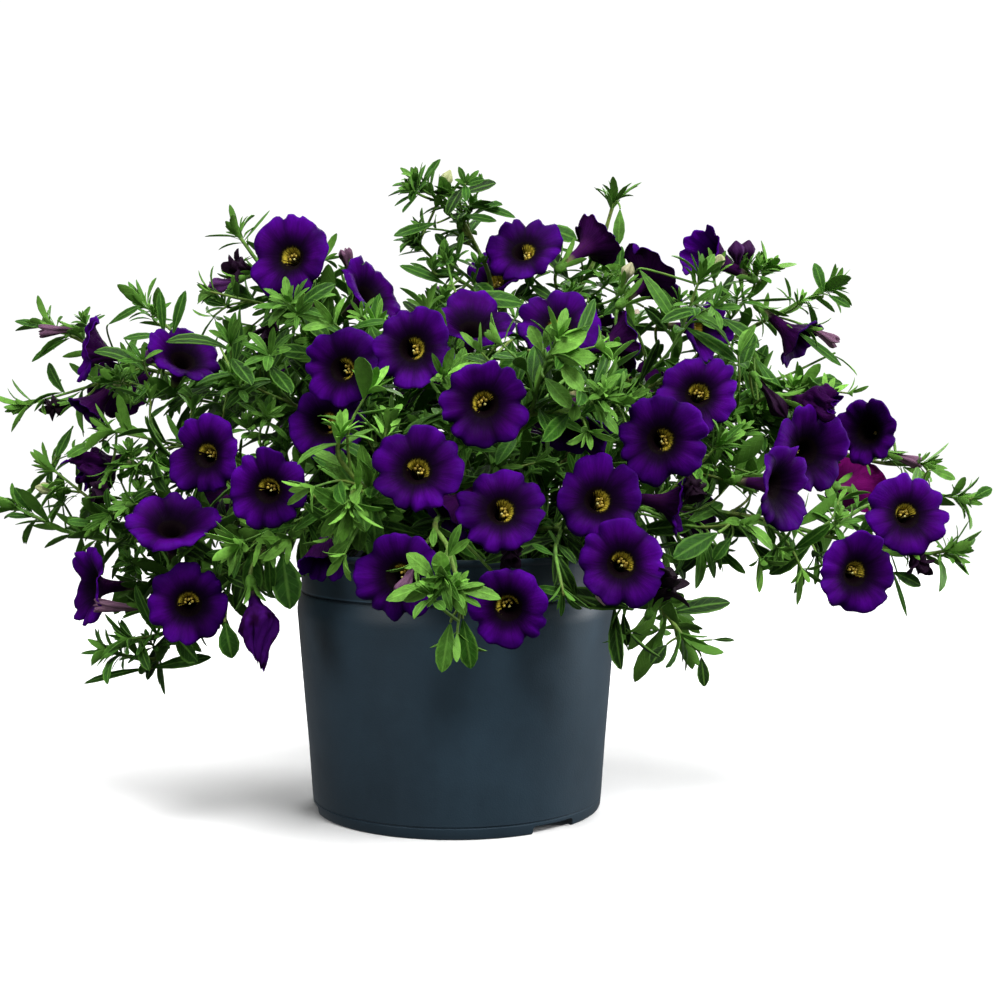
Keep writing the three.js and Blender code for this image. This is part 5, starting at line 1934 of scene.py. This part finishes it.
class CALIBRACHOA_OT_calyxes(bpy.types.Operator):
    """Set a cup with five sepals behind each flower and bud"""

    bl_idname = "calibrachoa.calyxes"
    bl_label = "Set the Calyxes"

    def execute(self, context):
        for shoot in PLAN:
            parts = []
            for flower in shoot.flowers:
                parts += calyx_parts(flower.foot, flower.axis, flower.seed)
            for bud in shoot.buds:
                seed = bud.middle[0] + bud.middle[1]
                tone = 0.85 - 0.3 * bud.age
                parts += calyx_parts(bud.back(1.5), bud.axis, seed, 0.8, 0.16, tone)
            calyxes = assemble(f"calyxes_{shoot.name}", parts)
            smooth(calyxes, BLADE_ANGLE)
            finish_piece(calyxes, "leaf", "leaf", shoot.node)
        return {"FINISHED"}


class CALIBRACHOA_OT_flowers(bpy.types.Operator):
    """Open the trumpet flowers, each with its own lobes, folds and ruffled edge"""

    bl_idname = "calibrachoa.flowers"
    bl_label = "Open the Flowers"

    def execute(self, context):
        thickness = context.scene.calibrachoa_sizes.petal_thickness
        for shoot in PLAN:
            for k, flower in enumerate(shoot.flowers):
                name = f"{shoot.name}_{k + 1}"
                points, shade = shaped_corolla(flower)
                copy = (template("corolla"), flower.place(points), flower.tone)
                corolla = assemble(f"corolla_{name}", [copy])
                lobes = corolla.data.attributes.new("shade", "FLOAT", "POINT")
                lobes.data.foreach_set("value", shade.astype(np.float32))
                wall = corolla.modifiers.new("wall", "SOLIDIFY")
                wall.thickness, wall.offset = thickness, -1
                wall.material_offset, wall.use_even_offset = 1, False
                nodes = [f"flower_{name}"] if k < shoot.framed_flowers else []
                finish_piece(corolla, "petal_face petal_back", "petal", *nodes)
                work_on(corolla)
                bpy.ops.object.modifier_apply(modifier=wall.name)
        return {"FINISHED"}


class CALIBRACHOA_OT_stamens(bpy.types.Operator):
    """Stand the anthers and the stigma in the throat of each flower that isn't shut"""

    bl_idname = "calibrachoa.stamens"
    bl_label = "Set the Stamens"

    def execute(self, context):
        for shoot in PLAN:
            parts = []
            for flower in shoot.flowers:
                if not flower.is_shut:
                    parts += stamen_parts(flower)
            stamens = assemble(f"stamens_{shoot.name}", parts)
            finish_piece(stamens, "anther", "petal")
        return {"FINISHED"}


class CALIBRACHOA_OT_buds(bpy.types.Operator):
    """Add the folded buds and the spent flowers"""

    bl_idname = "calibrachoa.buds"
    bl_label = "Add the Buds"

    def execute(self, context):
        for shoot in PLAN:
            parts = [part for bud in shoot.buds for part in bud_parts(bud)]
            if parts:
                finish_piece(assemble(f"buds_{shoot.name}", parts), "bud", "petal")
        return {"FINISHED"}


class CALIBRACHOA_OT_stage(bpy.types.Operator):
    """Set the pale floor, the soft lights and the camera"""

    bl_idname = "calibrachoa.stage"
    bl_label = "Set the Stage"

    def execute(self, context):
        clear_selection()
        bpy.ops.mesh.primitive_circle_add(vertices=96, radius=FLOOR_RADIUS, fill_type="NGON")
        floor = context.object
        floor.name = "floor"
        pale_floor, _, shader, place = begin("pale_floor", 0.9, 0.1)
        join(shader, "Base Color", graded(cloud(place, 12, 2), (0.3, 0.86), (0.7, 0.9)))
        floor.data.materials.append(pale_floor)
        floor.visible_diffuse = floor.visible_glossy = False
        floor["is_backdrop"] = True
        self.light_room(context.scene)
        for name, place, aim, size, power in LAMPS:
            self.hang_lamp(context.scene, name, place, aim, size, power)
        self.set_camera(context.scene)
        return {"FINISHED"}

    def light_room(self, scene):
        """A white studio that is seen brighter than the light that it gives."""
        world = bpy.data.worlds.new("studio")
        scene.world = world
        world.use_nodes = True
        background = world.node_tree.nodes["Background"]
        background.inputs["Color"].default_value = (1, 1, 1, 1)
        seen, mirrored = (
            Value(world.node_tree, f"Is {ray} Ray", "ShaderNodeLightPath")
            for ray in ("Camera", "Glossy")
        )
        strength = seen * SEEN_LIGHT + ROOM_LIGHT + mirrored * MIRRORED_LIGHT
        join(background, "Strength", strength)

    def hang_lamp(self, scene, name, place, aim, size, power):
        light = bpy.data.lights.new(name, "AREA")
        light.shape, light.size, light.energy = "DISK", size, power
        lamp = bpy.data.objects.new(name, light)
        lamp.location, lamp.visible_camera = place, False
        lamp.rotation_euler = (Vector(aim) - Vector(place)).to_track_quat("-Z", "Y").to_euler()
        scene.collection.objects.link(lamp)

    def set_camera(self, scene):
        camera = bpy.data.objects.new("camera", bpy.data.cameras.new("camera"))
        camera.data.lens, camera.data.sensor_width = LENS, SENSOR_WIDTH
        camera.location = CAMERA_PLACE
        camera.rotation_euler = (math.radians(90 - CAMERA_DIP), 0, 0)
        scene.collection.objects.link(camera)
        scene.camera = camera
        scene.view_settings.view_transform = "Standard"


STEPS = (
    CALIBRACHOA_OT_stage, CALIBRACHOA_OT_pot, CALIBRACHOA_OT_peat, CALIBRACHOA_OT_stems,
    CALIBRACHOA_OT_leaves, CALIBRACHOA_OT_calyxes, CALIBRACHOA_OT_flowers,
    CALIBRACHOA_OT_stamens, CALIBRACHOA_OT_buds,
)


class CALIBRACHOA_PT_panel(bpy.types.Panel):
    """The settings and the steps, in the order they are used"""

    bl_label = "Calibrachoa"
    bl_idname = "CALIBRACHOA_PT_panel"
    bl_space_type = "VIEW_3D"
    bl_region_type = "UI"
    bl_category = "Calibrachoa"

    def draw(self, context):
        for title, group in (
            ("Sizes", context.scene.calibrachoa_sizes),
            ("Colours", context.scene.calibrachoa_colours),
        ):
            box = self.layout.box()
            box.label(text=title)
            for name in type(group).__annotations__:
                box.prop(group, name)
        for step in STEPS:
            self.layout.operator(step.bl_idname)


CLASSES = (CALIBRACHOA_PG_colours, CALIBRACHOA_PG_sizes, *STEPS, CALIBRACHOA_PT_panel)


def register():
    for entry in CLASSES:
        bpy.utils.register_class(entry)
    scene = bpy.types.Scene
    scene.calibrachoa_colours = bpy.props.PointerProperty(type=CALIBRACHOA_PG_colours)
    scene.calibrachoa_sizes = bpy.props.PointerProperty(type=CALIBRACHOA_PG_sizes)


def unregister():
    del bpy.types.Scene.calibrachoa_colours
    del bpy.types.Scene.calibrachoa_sizes
    for entry in reversed(CLASSES):
        bpy.utils.unregister_class(entry)


def main():
    register()
    for step in STEPS:
        getattr(bpy.ops.calibrachoa, step.bl_idname.split(".")[1])()
    boxes = {"frame": FRAME_BOX, "looks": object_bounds()}
    {name: [list(corner) for corner in box] for name, box in boxes.items()}


if __name__ == "__main__":
    main()
